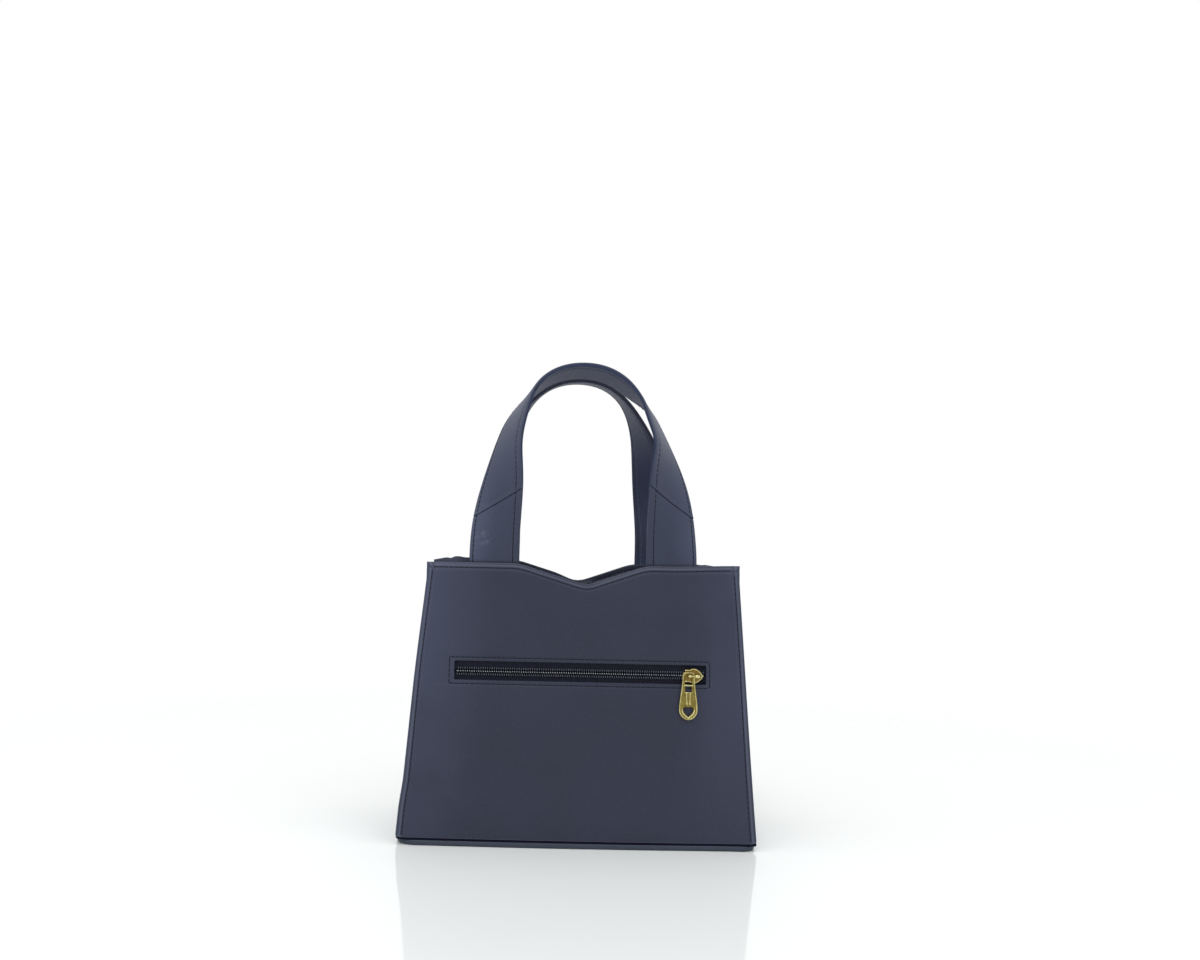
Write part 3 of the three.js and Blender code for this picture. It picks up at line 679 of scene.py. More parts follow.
def wall_panel(side):
    """Outer wall of leatherette, swollen a little, with rounded edges and, in front, the zip's window."""
    left, right = WINDOW_LEFT, WINDOW_RIGHT
    low, high = ZIP - WINDOW_OPEN, ZIP + WINDOW_OPEN
    step = 3
    # The grid's lines lie closer by the window's edge and its stitching
    corner = (-WINDOW_ROUND, -WINDOW_ROUND / 2, 0, 0.7, 1.5)
    beside = [*corner, 2.0, 2.5, 2.9, 3.4]
    above = [*corner, 2.1, 2.6, 3.1, 3.8]
    fixed = [left - off for off in beside] + [right + off for off in beside]
    fixed = sorted(fixed + spread(left + 4, right - 4, step))
    rows = [SEAM_GAP + up for up in (0, 0.3, 0.7, 1.2, 1.8, 2.6, 3.6)]
    rows += spread(7, ZIP - ZIP_STITCH_UP - step, step) + [low - off for off in above] + [ZIP]
    rows += [high + off for off in above] + spread(ZIP + ZIP_STITCH_UP + step, WALL - 24, step)
    rows.sort()
    count, columns = len(rows) + len(EDGE_ROWS), len(fixed) + 2 * len(EDGE_ROWS)

    def place(row, column):
        """Across and up of a grid point: the outer columns and the top rows follow the wall's edges."""
        up = rows[row] if row < len(rows) else WALL - EDGE_ROWS[-1]
        if column < len(EDGE_ROWS):
            x = side_edge(side, LEFT, up) + EDGE_ROWS[column]
        elif column < len(EDGE_ROWS) + len(fixed):
            x = fixed[column - len(EDGE_ROWS)]
        else:
            x = side_edge(side, RIGHT, up) - EDGE_ROWS[columns - 1 - column]
        return x, up if row < len(rows) else wall_top(side, x) - EDGE_ROWS[count - 1 - row]

    def is_leather(row, column):
        x, up = (sum(pair) / 2 for pair in zip(place(row, column), place(row + 1, column + 1)))
        return side == BACK or not (left < x < right and low < up < high)

    grid = [[place(row, column) for column in range(columns)] for row in range(count)]
    if side == FRONT:
        grid = [[round_window(x, up) for x, up in line] for line in grid]
    front = on_wall(side, grid, lambda x, up: panel_depth(side, x, up))
    back = on_wall(side, grid, lambda x, up: LEATHER)
    made = thick_sheet(f"{WALL_WORDS[side]}_panel_skin", front, back, PANEL_SKIN, 0.55, is_leather)
    settle(made)


def facing_top(side, x):
    """Top edge of the facing: in front it stands up, ruffled, at the shoulders."""
    if side == BACK:
        return wall_top(side, x)
    ripple = 0.4 * sin(x * 0.62 + 2.4) + 0.25 * sin(x * 1.5 + 1)
    left = lerp(RUFFLE_END, RUFFLE_LEFT, smooth(x, -88, -74)) * smooth(x, -48, -58)
    right = RUFFLE_RIGHT * smooth(x, 62, 67) * smooth(x, 77, 72)
    return wall_top(side, x) + (1 + 0.3 * ripple) * left + right


def facing_depth(side, x, up):
    """The facing lies against the wall along the top edge, and stands off over handle ends and snap."""
    top = wall_top(side, x)
    past_strap = smooth(abs(abs(x) - HANDLE_SPREAD / 2) - STRAP_WIDTH / 2, 2.2, 7.5)
    near_snap = smooth(abs(x), 20, 8)
    meets = smooth(up, top - lerp(16, 3.9, near_snap), top - lerp(4, 1.5, near_snap))
    return lerp(FACING_FRONT, TAB_FRONT, meets * past_strap)


def wall_facing(side):
    """Strip of leatherette inside the mouth, sewn to the wall's top edge."""
    half = half_width(WALL) - 2 * (GUSSET + SEAM)
    drops = [*EDGE_ROWS[:-2], 7, 9, 12, 15]
    low_rows = 5

    def column(x):
        """Places up the strip, closer together towards its top edge."""
        top = facing_top(side, x)
        low = [lerp(WALL - FACING_DROP, top - drops[-1], row / low_rows) for row in range(low_rows)]
        return [(x, up) for up in low + [top - drop for drop in reversed(drops)]]

    def outer(x, up):
        return facing_depth(side, x, up)

    def inner(x, up):
        return outer(x, up) + FACING - groove_at(wall_top(side, x) - EDGE_STITCH - up)

    grid = list(zip(*(column(x) for x in spread(-half, half, 2.5))))
    front, back = on_wall(side, grid, inner), on_wall(side, grid, outer)
    made = thick_sheet(f"{WALL_WORDS[side]}_facing_skin", front, back, FACING_SKIN_PAINTED_LIGHTER, 0.35)
    settle(made)


def wall_lining(side):
    """Lining cloth hung from the facing, slack in its lower part."""
    word = WALL_WORDS[side]
    facing_foot = WALL - FACING_DROP
    bend = ZIP + POUCH_RISE + LINING
    foot = BASE_BOARD + 3 * SEAM + LINING
    hung = FACING_FRONT + FACING + SEAM
    ease, slack_height = 1.5, 25
    margin = GUSSET + LINING + 4 * SEAM + ease
    ups = spread(foot, bend, 5)[:-1] + spread(bend, facing_foot, 2)[:-1]
    ups += spread(facing_foot, facing_foot + LINING_OVERLAP, 2)

    def depth(x, up):
        hanging = lerp(LINING_DEPTH, hung, smooth(up, bend, facing_foot))
        slack = smooth(up, bend, bend - slack_height) * smooth(up, foot, foot + slack_height)
        fold = 0.9 * sin(x * 0.09 + up * 0.015) ** 2 + 0.7 * sin(x * 0.037 + 1.3 * side) ** 2
        return hanging + fold * slack

    grid = [[(share * (half_width(up) - margin), up) for share in spread(-1, 1, 0.04)] for up in ups]
    front = on_wall(side, grid, depth)
    back = on_wall(side, grid, lambda x, up: depth(x, up) + LINING)
    lining_sheet(f"{word}_lining_cloth", front, back)


# Sides
GUSSET_SHARES = spread(-1, 1, 0.07)  # from the front wall's edge to the back one's
GUSSET_TURN_IN, GUSSET_TURN = 5, 2  # how far its edges go in behind the walls, and where they start to turn
FOLD_AT_FOOT, FOLD_AT_TOP, FOLD_SHARPNESS = 0.3, 9.5, 0.55


def wall_reach(z, layers):
    """How far from the middle plane a side sheet may reach, under this much of a wall's layers."""
    return BASE_DEPTH / 2 - (z - FOOT) * sin(LEAN) / cos(LEAN) - layers / cos(LEAN)


def gusset_x(sign, share, z, inset):
    """A side's place across: from the front wall's edge to the back one's, drawn in along its middle."""
    up = (z - FOOT) / cos(LEAN)
    edge = lerp(abs(side_edge(FRONT, sign, up)), abs(side_edge(BACK, sign, up)), (share + 1) / 2)
    soft, sharp = cos(share * pi / 2) ** 2, 1.04 - hypot(share, 0.04)
    crease = max(0, lerp(soft, sharp, FOLD_SHARPNESS * smooth(up, 15, 110)))
    drawn = lerp(FOLD_AT_FOOT, FOLD_AT_TOP, smooth(up, 0, WALL) * 0.7 + up / WALL * 0.3) * crease
    drawn += 0.5 * sin(up * 0.045 + sign) * sin(share * pi) * up / WALL
    return sign * (edge - SEAM - inset - drawn)


def gusset(sign):
    """Side of the bag: a soft sheet folded in towards its top, its edges turned in behind the walls."""
    outer, inner = [], []
    for z in spread(FOOT, BODY_HEIGHT - SEAM, 4):
        for lines, inset in ((outer, 0), (inner, GUSSET)):
            reach = wall_reach(z, LEATHER + SEAM) - inset
            line = [Vector((gusset_x(sign, s, z, inset), s * reach, z)) for s in GUSSET_SHARES]
            for off in (GUSSET_TURN, GUSSET_TURN_IN):
                ends = [Vector((gusset_x(sign, s, z, 0) - sign * off, s * reach, z)) for s in (FRONT, BACK)]
                line = [ends[0], *line, ends[1]]
            lines.append(line)
    settle(thick_sheet(f"{SIDE_WORDS[sign]}_gusset_skin", outer, inner, PANEL_SKIN, 0.3))


def gusset_lining(sign):
    """Lining cloth of a side, following its fold."""
    word = SIDE_WORDS[sign]
    outer, inner = [], []
    for z in spread(FOOT + BASE_BOARD + 2 * SEAM, BODY_HEIGHT - 2 * SEAM, 4):
        reach = wall_reach(z, LEATHER + SEAM + GUSSET + SEAM)
        for lines, inset in ((outer, GUSSET + SEAM), (inner, GUSSET + SEAM + LINING)):
            lines.append([Vector((gusset_x(sign, s, z, inset), s * reach, z)) for s in GUSSET_SHARES])
    lining_sheet(f"{word}_gusset_lining_cloth", outer, inner)


# Base
BASE_ROUND_RIGHT, BASE_ROUND_LEFT, BASE_ROLL = 8, 11, 1.2
WELT_WIDTH, WELT_ROLL = 2.8, 0.4


def belly_at(y):
    """How far the base follows the front wall's belly out on the left, less towards the back."""
    return BELLY * (0.5 - y / BASE_DEPTH)


def base_outline(inset, right, left, steps=8):
    """Outline of the base with its own corner radius at each end, following the front wall's foot."""
    points = []
    corners = ((1, -1, right), (1, 1, right), (-1, 1, left), (-1, -1, left))
    for k, (sx, sy, corner) in enumerate(corners):
        for i in range(steps + 1):
            turn = (k - 1 + i / steps) * pi / 2
            x = sx * (BASE_WIDTH / 2 - inset - corner) + corner * cos(turn)
            y = sy * (BASE_DEPTH / 2 - inset - corner) + corner * sin(turn)
            points.append((x - (belly_at(y) if x < 0 else 0), y))
    points += [(x, points[0][1]) for x in spread(points[-1][0], points[0][0], 6)[1:-1]]
    return [(x, y - foot_bow(x) * max(0, -2 * y / BASE_DEPTH)) for x, y in points]


def base_skin():
    """Base with a rolled edge."""
    outlines = [base_outline(0, BASE_ROUND_RIGHT, BASE_ROUND_LEFT)]
    made = cut_plate("base_panel_skin", outlines, 0, BASE_EDGE, BASE_ROLL, Matrix(), BASE_SKIN_PAINTED_FLOOR_LIGHT)
    settle(made)


def base_welt():
    """Dark cord sewn into the seam between walls and base; its near-black colour also paints the shade in the
    seam gap.
    """
    outlines = [base_outline(0, 2, 4), base_outline(WELT_WIDTH, 2, 2)]
    low, high = BASE_EDGE - WELT_ROLL, FOOT + SEAM_GAP + WELT_ROLL / 2
    attach(cut_plate("base_welt", outlines, low, high, WELT_ROLL, Matrix(), WELT_AND_SEAM_SHADE))


def base_cloth():
    """Lining cloth on the base board, lifting a little here and there."""
    depth = BASE_DEPTH / 2 - LINING_DEPTH - LINING - SEAM
    right = BASE_WIDTH / 2 - GUSSET - 3 * SEAM - LINING - 0.5
    low, columns = FOOT + BASE_BOARD + SEAM, 34
    under = []
    for y in spread(-depth, depth, 6):
        xs = [lerp(-right - belly_at(y), right, i / columns) for i in range(columns + 1)]
        lift = 0.3 * cos(y / depth * pi / 2)
        under.append([Vector((x, y, low + lift * sin(x * 0.06) ** 2)) for x in xs])
    over = [[point + Vector((0, 0, LINING)) for point in line] for line in under]
    lining_sheet("base_lining_cloth", over, under)


# Handles
HALF_LINE = interpolate_bezier(
    Vector((HANDLE_SPREAD / 2, 0, 0)),
    Vector((HANDLE_SPREAD / 2, 0, LEG_REACH)),
    Vector((CROWN_REACH, 0, HANDLE_RISE)),
    Vector((0, 0, HANDLE_RISE)),
    600,
)
LINE_LENGTHS = [0, *accumulate((b - a).length for a, b in zip(HALF_LINE, HALF_LINE[1:]))]
HALF_LENGTH = LINE_LENGTHS[-1]
WHOLE_LENGTH = 2 * HALF_LENGTH
STITCH_ROWS = (-0.864, 0.736)  # across a strap: near its outer edge, -1, and less so near its inner edge, 1
STRAP_ACROSS = [-1, -0.975, -0.94, -0.905, STITCH_ROWS[0], -0.82, -0.76, -0.66, -0.5, -0.25, 0]
STRAP_ACROSS += [0.25, 0.5, 0.61, 0.69, STITCH_ROWS[1], 0.785, 0.86, 0.92, 0.965, 1]
STRAP_GROOVE, STRAP_GROOVE_WIDTH, STRAP_ROLL, STRAP_SWELL = 0.36, 0.6, 0.35, 0.3
ROOT_FLARE, ROOT_FLARE_LENGTH = 0.045, 45
SEAM_SLIT = 0.1  # half the slit between a leg and the arch
SEAM_RIDGE, SEAM_RIDGE_WIDTH = 0.45, 2.2  # how the arch's end stands up over the leg
OUTER_ROW_DEPTH, INNER_ROW_DEPTH = 0.28, STRAP - 0.3  # of the stitching in a strap's two faces
STRAP_STEP = 2.2
LEG_SEAMS = {  # place along the strap of each leg's slanting seam, at the outer and inner edge
    RIGHT: (MITRE_OUTER - 2, MITRE_INNER + 1.5),
    LEFT: (MITRE_OUTER - 3.2, MITRE_INNER - 1.5),
}

# Neither handle stands quite even: how far each leans aside by height, as steps and humps, and how much later
# than TWIST_RISE says its legs turn, as humps and shares of a quarter turn
SWAY_START = {FRONT: 0.3, BACK: 1.4}
SWAY_STEPS = {FRONT: [(0.9, 12, 50), (-2.4, 70, 110)], BACK: [(-2.3, 10, 75), (0.7, 86, 112)]}
FRONT_SWAY_HUMPS = {LEFT: [(-1.8, 76, 17)], RIGHT: [(1.8, 94, 11), (1.5, 72, 14), (-0.7, 103, 7)]}
FRONT_LATENESS = {LEFT: [(0.1, 88, 16)], RIGHT: [(0.1, 88, 16), (-0.045, 103, 7), (-0.06, 74, 14)]}


def fold_place(side):
    """Middle of the line along which a handle folds."""
    return wall_point(side, 0, TAB_FRONT, WALL + FOLD_RISE)


def handle_line(along):
    """Place and direction of a handle's right half at a length along it from its fold line."""
    if along <= 0:
        return Vector((HANDLE_SPREAD / 2, 0, along)), Vector((0, 0, 1))
    last = len(HALF_LINE) - 1
    i = min(bisect_right(LINE_LENGTHS, along), last) - 1
    rest = (along - LINE_LENGTHS[i]) / (LINE_LENGTHS[i + 1] - LINE_LENGTHS[i])
    way = HALF_LINE[min(i + 2, last)] - HALF_LINE[max(i - 1, 0)]
    return HALF_LINE[i].lerp(HALF_LINE[i + 1], min(1, rest)), way.normalized()


def strap_point(side, along, across, through):
    """A point of a handle's strap: along from the right fold line, across, in from its face."""
    sign = LEFT if along > HALF_LENGTH else RIGHT
    along = WHOLE_LENGTH - along if sign == LEFT else along
    point, way = handle_line(along)
    late = humps(point.z, FRONT_LATENESS[sign]) if side == FRONT else 0
    turn = pi / 2 * (smooth(point.z, 0, TWIST_RISE) - late)
    inward = Vector((-way.z, 0, way.x))
    wide = inward * cos(turn) - Vector((0, sin(turn), 0))
    thick = inward * sin(turn) + Vector((0, cos(turn), 0))
    flare = 1 + ROOT_FLARE * smooth(along, ROOT_FLARE_LENGTH, 0)
    point = point + wide * across * flare * STRAP_WIDTH / 2 + thick * through
    lean = lerp(LEAN, HANDLE_LEAN, smooth(along, -4, 12))
    y = point.y * cos(lean) + point.z * sin(lean)
    z = point.z * cos(lean) - point.y * sin(lean)
    sway = SWAY_START[side] + ramps(z, SWAY_STEPS[side])
    if side == FRONT:
        sway += humps(z, FRONT_SWAY_HUMPS[sign])
    fold = fold_place(side)
    return Vector((sign * point.x + sway, fold.y - side * y, fold.z + z))


def strap_layer(name, side, starts, ends, outer, inner, material):
    """One layer of strap between two lines across it, given by their place along at each of STRAP_ACROSS."""
    middle = STRAP_ACROSS.index(0)
    count = ceil((ends[middle] - starts[middle]) / STRAP_STEP)
    grid = [
        [(lerp(start, end, i / count), a) for start, end, a in zip(starts, ends, STRAP_ACROSS)]
        for i in range(count + 1)
    ]
    front = [[strap_point(side, along, a, outer(along, a)) for along, a in line] for line in grid]
    back = [[strap_point(side, along, a, inner(along, a)) for along, a in line] for line in grid]
    return thick_sheet(name, front, back, material, 0.35)


def leg_seam(sign, across):
    """How far along from its root a leg ends, at a place across."""
    return lerp(*LEG_SEAMS[sign], (across + 1) / 2)


def strap_groove(across):
    """Depth of a strap's face at its stitching, and where its edges roll over."""
    from_row = min(abs(across - row) for row in STITCH_ROWS) * STRAP_WIDTH / 2
    return STRAP_GROOVE * hump(from_row, 0, STRAP_GROOVE_WIDTH) + STRAP_ROLL * smooth(abs(across), 0.85, 1.03)


def leg_face(along, a):
    from_root = min(along, WHOLE_LENGTH - along)
    return strap_groove(a) - STRAP_SWELL * (1 - a * a) * smooth(from_root, 0, 12)


def arch_face(along, a):
    past_seam = max(0, min(along - leg_seam(RIGHT, a), WHOLE_LENGTH - along - leg_seam(LEFT, a)))
    return strap_groove(a) - STRAP_SWELL * (1 - a * a) - SEAM_RIDGE * hump(past_seam, 0, SEAM_RIDGE_WIDTH)


def face_underside(along, a):
    return STRAP_FACE + 0.1


def backing_topside(along, a):
    return STRAP_FACE + 0.15


def backing_face(along, a):
    return STRAP - strap_groove(a)


def sewn_to_handle(made, side):
    """Bakes a strap piece's place into its mesh; the fold place that it looks up is not used."""
    fold = fold_place(side)
    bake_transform(made)


def handle(side):
    """One handle: two legs and an arch of face strap, and the backing strip that runs the whole way."""
    name = f"{WALL_WORDS[side]}_handle"
    right_end = [-TAB_DROP] * len(STRAP_ACROSS)
    left_end = [WHOLE_LENGTH + TAB_DROP] * len(STRAP_ACROSS)
    right_leg_end = [leg_seam(RIGHT, a) - SEAM_SLIT for a in STRAP_ACROSS]
    arch_start = [leg_seam(RIGHT, a) + SEAM_SLIT for a in STRAP_ACROSS]
    arch_end = [WHOLE_LENGTH - leg_seam(LEFT, a) - SEAM_SLIT for a in STRAP_ACROSS]
    left_leg_start = [WHOLE_LENGTH - leg_seam(LEFT, a) + SEAM_SLIT for a in STRAP_ACROSS]
    face = (face_underside, STRAP_SKIN)
    layers = (
        ("right_leg", ("right_leg", "right_tab"), right_end, right_leg_end, leg_face, *face),
        ("left_leg", ("left_leg", "left_tab"), left_leg_start, left_end, leg_face, *face),
        ("arch", ("arch",), arch_start, arch_end, arch_face, *face),
        ("backing", ("backing",), right_end, left_end, backing_topside, backing_face, BACKING_SKIN),
    )
    for word, solids, *layer in layers:
        made = strap_layer(f"{name}_{word}_skin", side, *layer)
        sewn_to_handle(made, side)
        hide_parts(*(f"{name}_{solid}" for solid in solids))


# Stitching and zip teeth: rows of small round-ended bars
def bar_rows_group():
    """Puts a round-ended bar on each point, along its lay and flat to its face."""
    group = bpy.data.node_groups.new("bar_rows", "GeometryNodeTree")
    group.is_modifier = True
    sockets = {
        "Geometry": "Geometry",
        "Length": "Float",
        "Radius": "Float",
        "Flatness": "Float",
        "Material": "Material",
    }
    for word, kind in sockets.items():
        group.interface.new_socket(word, in_out="INPUT", socket_type=f"NodeSocket{kind}")
    group.interface.new_socket("Geometry", in_out="OUTPUT", socket_type="NodeSocketGeometry")
    node = Field(group).node
    given = {word: node("NodeGroupInput", word) for word in sockets}
    ball = node("GeometryNodeMeshUVSphere", Segments=8, Rings=5, Radius=given["Radius"])
    ball = node("GeometryNodeTransform", Geometry=ball, Rotation=(0, pi / 2, 0))
    # Each half of the ball moves out to its own end of the bar
    end = node("ShaderNodeSeparateXYZ", "X", Vector=node("GeometryNodeInputPosition")).math("SIGN")
    shift = node("ShaderNodeCombineXYZ", X=end * (0.5 * given["Length"] - given["Radius"]))
    bar = node("GeometryNodeSetPosition", Geometry=ball, Offset=shift)
    squat = node("ShaderNodeCombineXYZ", X=1.0, Y=1.0, Z=given["Flatness"])
    bar = node("GeometryNodeTransform", Geometry=bar, Scale=squat)
    vector = {"data_type": "FLOAT_VECTOR"}
    lay, facing = (
        node("GeometryNodeInputNamedAttribute", 0, vector, Name=word) for word in ("lay", "facing")
    )
    axes = {"primary_axis": "Z", "secondary_axis": "X"}
    turn = node("FunctionNodeAxesToRotation", 0, axes, _0=facing, _1=lay)
    rows = node("GeometryNodeInstanceOnPoints", Points=given["Geometry"], Instance=bar, Rotation=turn)
    solid = node("GeometryNodeRealizeInstances", Geometry=rows)
    solid = node("GeometryNodeSetMaterial", Geometry=solid, Material=given["Material"])
    node("NodeGroupOutput", Geometry=solid)
    return group


BAR_ROWS = bar_rows_group()


def bars(name, spots, length, radius, flatness, material):
    """Bars at spots, each a place, the way it lies and the way its face looks."""
    mesh = bpy.data.meshes.new(name)
    mesh.from_pydata([place * MM for place, _, _ in spots], [], [])
    for k, word in ((1, "lay"), (2, "facing")):
        stored = mesh.attributes.new(word, "FLOAT_VECTOR", "POINT")
        stored.data.foreach_set("vector", [c for spot in spots for c in spot[k]])
    made = add_object(name, mesh, material)
    rows = made.modifiers.new("bar rows", "NODES")
    rows.node_group = BAR_ROWS
    values = {"Length": length * MM, "Radius": radius * MM, "Flatness": flatness, "Material": material}
    for item in BAR_ROWS.interface.items_tree:
        if item.in_out == "INPUT" and item.name in values:
            rows[item.identifier] = values[item.name]
    return bake(made)


PITCH = 3.0
STITCH = {"length": 2.7, "radius": 0.3, "flatness": 0.75}
PROUD = 0.02  # how far a stitch's middle stands out of its groove


def along_line(points, pitch):
    """Places and directions every pitch along a line of points."""
    spots, carried = [], pitch / 2
    for a, b in zip(points, points[1:]):
        length = (b - a).length
        while carried < length:
            spots.append((a.lerp(b, carried / length), (b - a).normalized()))
            carried += pitch
        carried -= length
    return spots


def panel_stitches(side):
    """Stitching along a wall's sides and top edge, round its zip, and where it shows on the facing."""
    reach = half_width(WALL) - EDGE_STITCH

    def on_face(places):
        return [wall_point(side, x, panel_depth(side, x, up) - PROUD, up) for x, up in places]

    def on_facing(places):
        depths = [facing_depth(side, x, up) + FACING - GROOVE + PROUD for x, up in places]
        return [wall_point(side, x, depth, up) for (x, up), depth in zip(places, depths)]

    def along_top(half):
        return [(x, wall_top(side, x) - EDGE_STITCH) for x in spread(-half, half, 1)]

    lines = [along_top(reach)]
    ups = spread(2, WALL - EDGE_STITCH - 1, 1.5)
    for sign in (LEFT, RIGHT):
        lines.append([(side_edge(side, sign, up) - sign * stitch_inset(up), up) for up in ups])
    if side == FRONT:
        low, high = ZIP - ZIP_STITCH_UP, ZIP + ZIP_STITCH_UP
        xs, ups = spread(ZIP_STITCH_LEFT, ZIP_STITCH_RIGHT, 1.5), spread(low, high, 1.5)
        lines += [[(x, level) for x in xs] for level in (low, high)]
        lines += [[(x, up) for up in ups] for x in (ZIP_STITCH_LEFT, ZIP_STITCH_RIGHT)]
    outward = wall_vector(side, 0, -1, 0)
    spots = [(p, way, outward) for line in lines for p, way in along_line(on_face(line), PITCH)]
    return spots + [(p, way, -outward) for p, way in along_line(on_facing(along_top(reach - 3)), PITCH)]


def strap_stitches(side, through, outward):
    """Two rows of stitching on one face of a handle's strap."""
    spots = []
    alongs = spread(-3, WHOLE_LENGTH + 3, 1)
    for across in STITCH_ROWS:
        line = [strap_point(side, along, across, through) for along in alongs]
        for p, way in along_line(line, PITCH):
            near = min(range(len(line)), key=lambda i: (line[i] - p).length_squared)
            out = strap_point(side, alongs[near], across, through + outward) - line[near]
            spots.append((p, way, out.normalized()))
    return spots


def stitching(side):
    """Stitching of a wall and of both faces of its handle."""
    word = WALL_WORDS[side]
    attach(bars(f"{word}_panel_stitching", panel_stitches(side), material=THREAD, **STITCH))
    faces = (("outer", OUTER_ROW_DEPTH, -1, THREAD), ("inner", INNER_ROW_DEPTH, 1, INNER_THREAD))
    for face, through, outward, thread in faces:
        spots = strap_stitches(side, through, outward)
        sewn_to_handle(bars(f"{word}_handle_{face}_stitching", spots, material=thread, **STITCH), side)


# Zip
TAPE_FRONT = LEATHER + SEAM
TAPE_CORD = 3.6  # where the tape's corded edge lies, from the chain's middle
COIL_PITCH, COIL_LENGTH, COIL_HOOK, COIL_SLANT = 1.31, 3.1, 0.35, 0.22
LOOP_DEPTH, HEAD_DEPTH, SEWING_DEPTH = 1.15, 0.8, 0.72  # in from the wall's face
SEWING_OFF = 1.8  # from the chain's middle
PULL_TOP, PULL_FOOT, PULL_HALF, EYE_HALF = 2.3, -25.2, 5.4, 3.55
HEART_HALF, HEART_LOW, HEART_HIGH = 2.95, -23.3, -17.6


def zip_tape(sign):
    """Half of the zip's tape: a woven band with a corded edge beside the chain."""
    half = WINDOW_LENGTH / 2 + TAPE_OVERHANG
    offs = [0.5, 0.8, 1.2, 1.7, 2.4, 3.2, TAPE_CORD, 4.0, 4.6, 6, 9, 0.5 + TAPE_WIDTH]
    grid = [[(x, CHAIN + sign * off) for x in spread(-half, half, 4)] for off in offs]
    front = on_wall(FRONT, grid, lambda x, up: TAPE_FRONT - 0.12 * hump(abs(up - CHAIN), TAPE_CORD, 0.35))
    back = on_wall(FRONT, grid, lambda x, up: TAPE_FRONT + TAPE)
    settle(thick_sheet(f"zip_{ZIP_WORDS[sign]}_tape_cloth", front, back, TAPE_CLOTH, 0.15))


def zip_coil(sign):
    """One row of nylon coil: loops across the tape, sewn down, whose heads hook past the middle.

    The heads in sight are the upper row's, and one at the lower row's end.
    """
    name = f"zip_{ZIP_WORDS[sign]}_coil_loops"
    reach = WINDOW_LENGTH / 2 - 0.8
    outward = wall_vector(FRONT, 0, -1, 0)
    across = wall_vector(FRONT, COIL_SLANT * sign, 0, 1).normalized()
    along = wall_vector(FRONT, 1, 0, 0)
    shift = COIL_PITCH / 2 if sign == UPPER else 0
    xs = [x + shift for x in spread(-reach, reach - COIL_PITCH, COIL_PITCH)]

    def row(xs, depth, up, lay):
        return [(wall_point(FRONT, x, depth, CHAIN + up), lay, outward) for x in xs]

    loops = row(xs, LOOP_DEPTH, sign * (COIL_LENGTH / 2 - COIL_HOOK), across)
    heads = row(xs if sign == UPPER else xs[:1], HEAD_DEPTH, 0.1, along)
    sewing = row(xs, SEWING_DEPTH, 0.1 + sign * SEWING_OFF, across)
    parts = [
        bars(name, loops, COIL_LENGTH, 0.4, 1.5, COIL_NYLON),
        bars(f"{name}_heads", heads, 0.62, 0.3, 1.0, COIL_HEADS_PAINTED_GLINT),
        bars(f"{name}_sewing", sewing, 1.25, 0.26, 1.0, COIL_SEWING),
    ]
    settle(joined(name, parts))


def zip_place(x):
    """Frame on the front wall at the zip: across, up and out."""
    axes = (wall_vector(FRONT, 1, 0, 0), wall_vector(FRONT, 0, 0, 1), wall_vector(FRONT, 0, -1, 0))
    turned = Matrix(axes).transposed().to_4x4()
    return Matrix.Translation(wall_point(FRONT, x, 0, CHAIN) * MM) @ turned


def on_zip(place, points):
    """Points given across, up and out from a place on the zip's middle line."""
    return [(place @ (Vector(p) * MM)) / MM for p in points]


def curve_points(*pieces):
    """Outline from corner points and, where a piece has four, cubic curves."""
    points = []
    for piece in pieces:
        if len(piece) == 4:
            ends = [Vector((*p, 0)) for p in piece]
            points += [(p.x, p.y) for p in interpolate_bezier(*ends, 8)[:-1]]
        else:
            points += piece
    return points


def box_outline(left, low, right, high):
    return [(left, low), (right, low), (right, high), (left, high)]


def both_sides(right):
    """Closes the right half of an outline by its mirror image."""
    return right + [(-x, y) for x, y in reversed(right[1:])]


def slider_half(inset):
    """Upper half of the slider: from its pointed nose, right, over a round shoulder to its waisted tail."""
    shoulder, tail = (0.3, 4.3 - inset), (-4.9, 3.6 - inset)
    return curve_points(
        ((5.8 - 1.5 * inset, 0), (4.9 - inset, 1.6 - inset), (2.6, 4.3 - inset), shoulder),
        (shoulder, (-1, 4.3 - inset), (-1.5, 3.3 - inset), tail),
        [tail],
    )


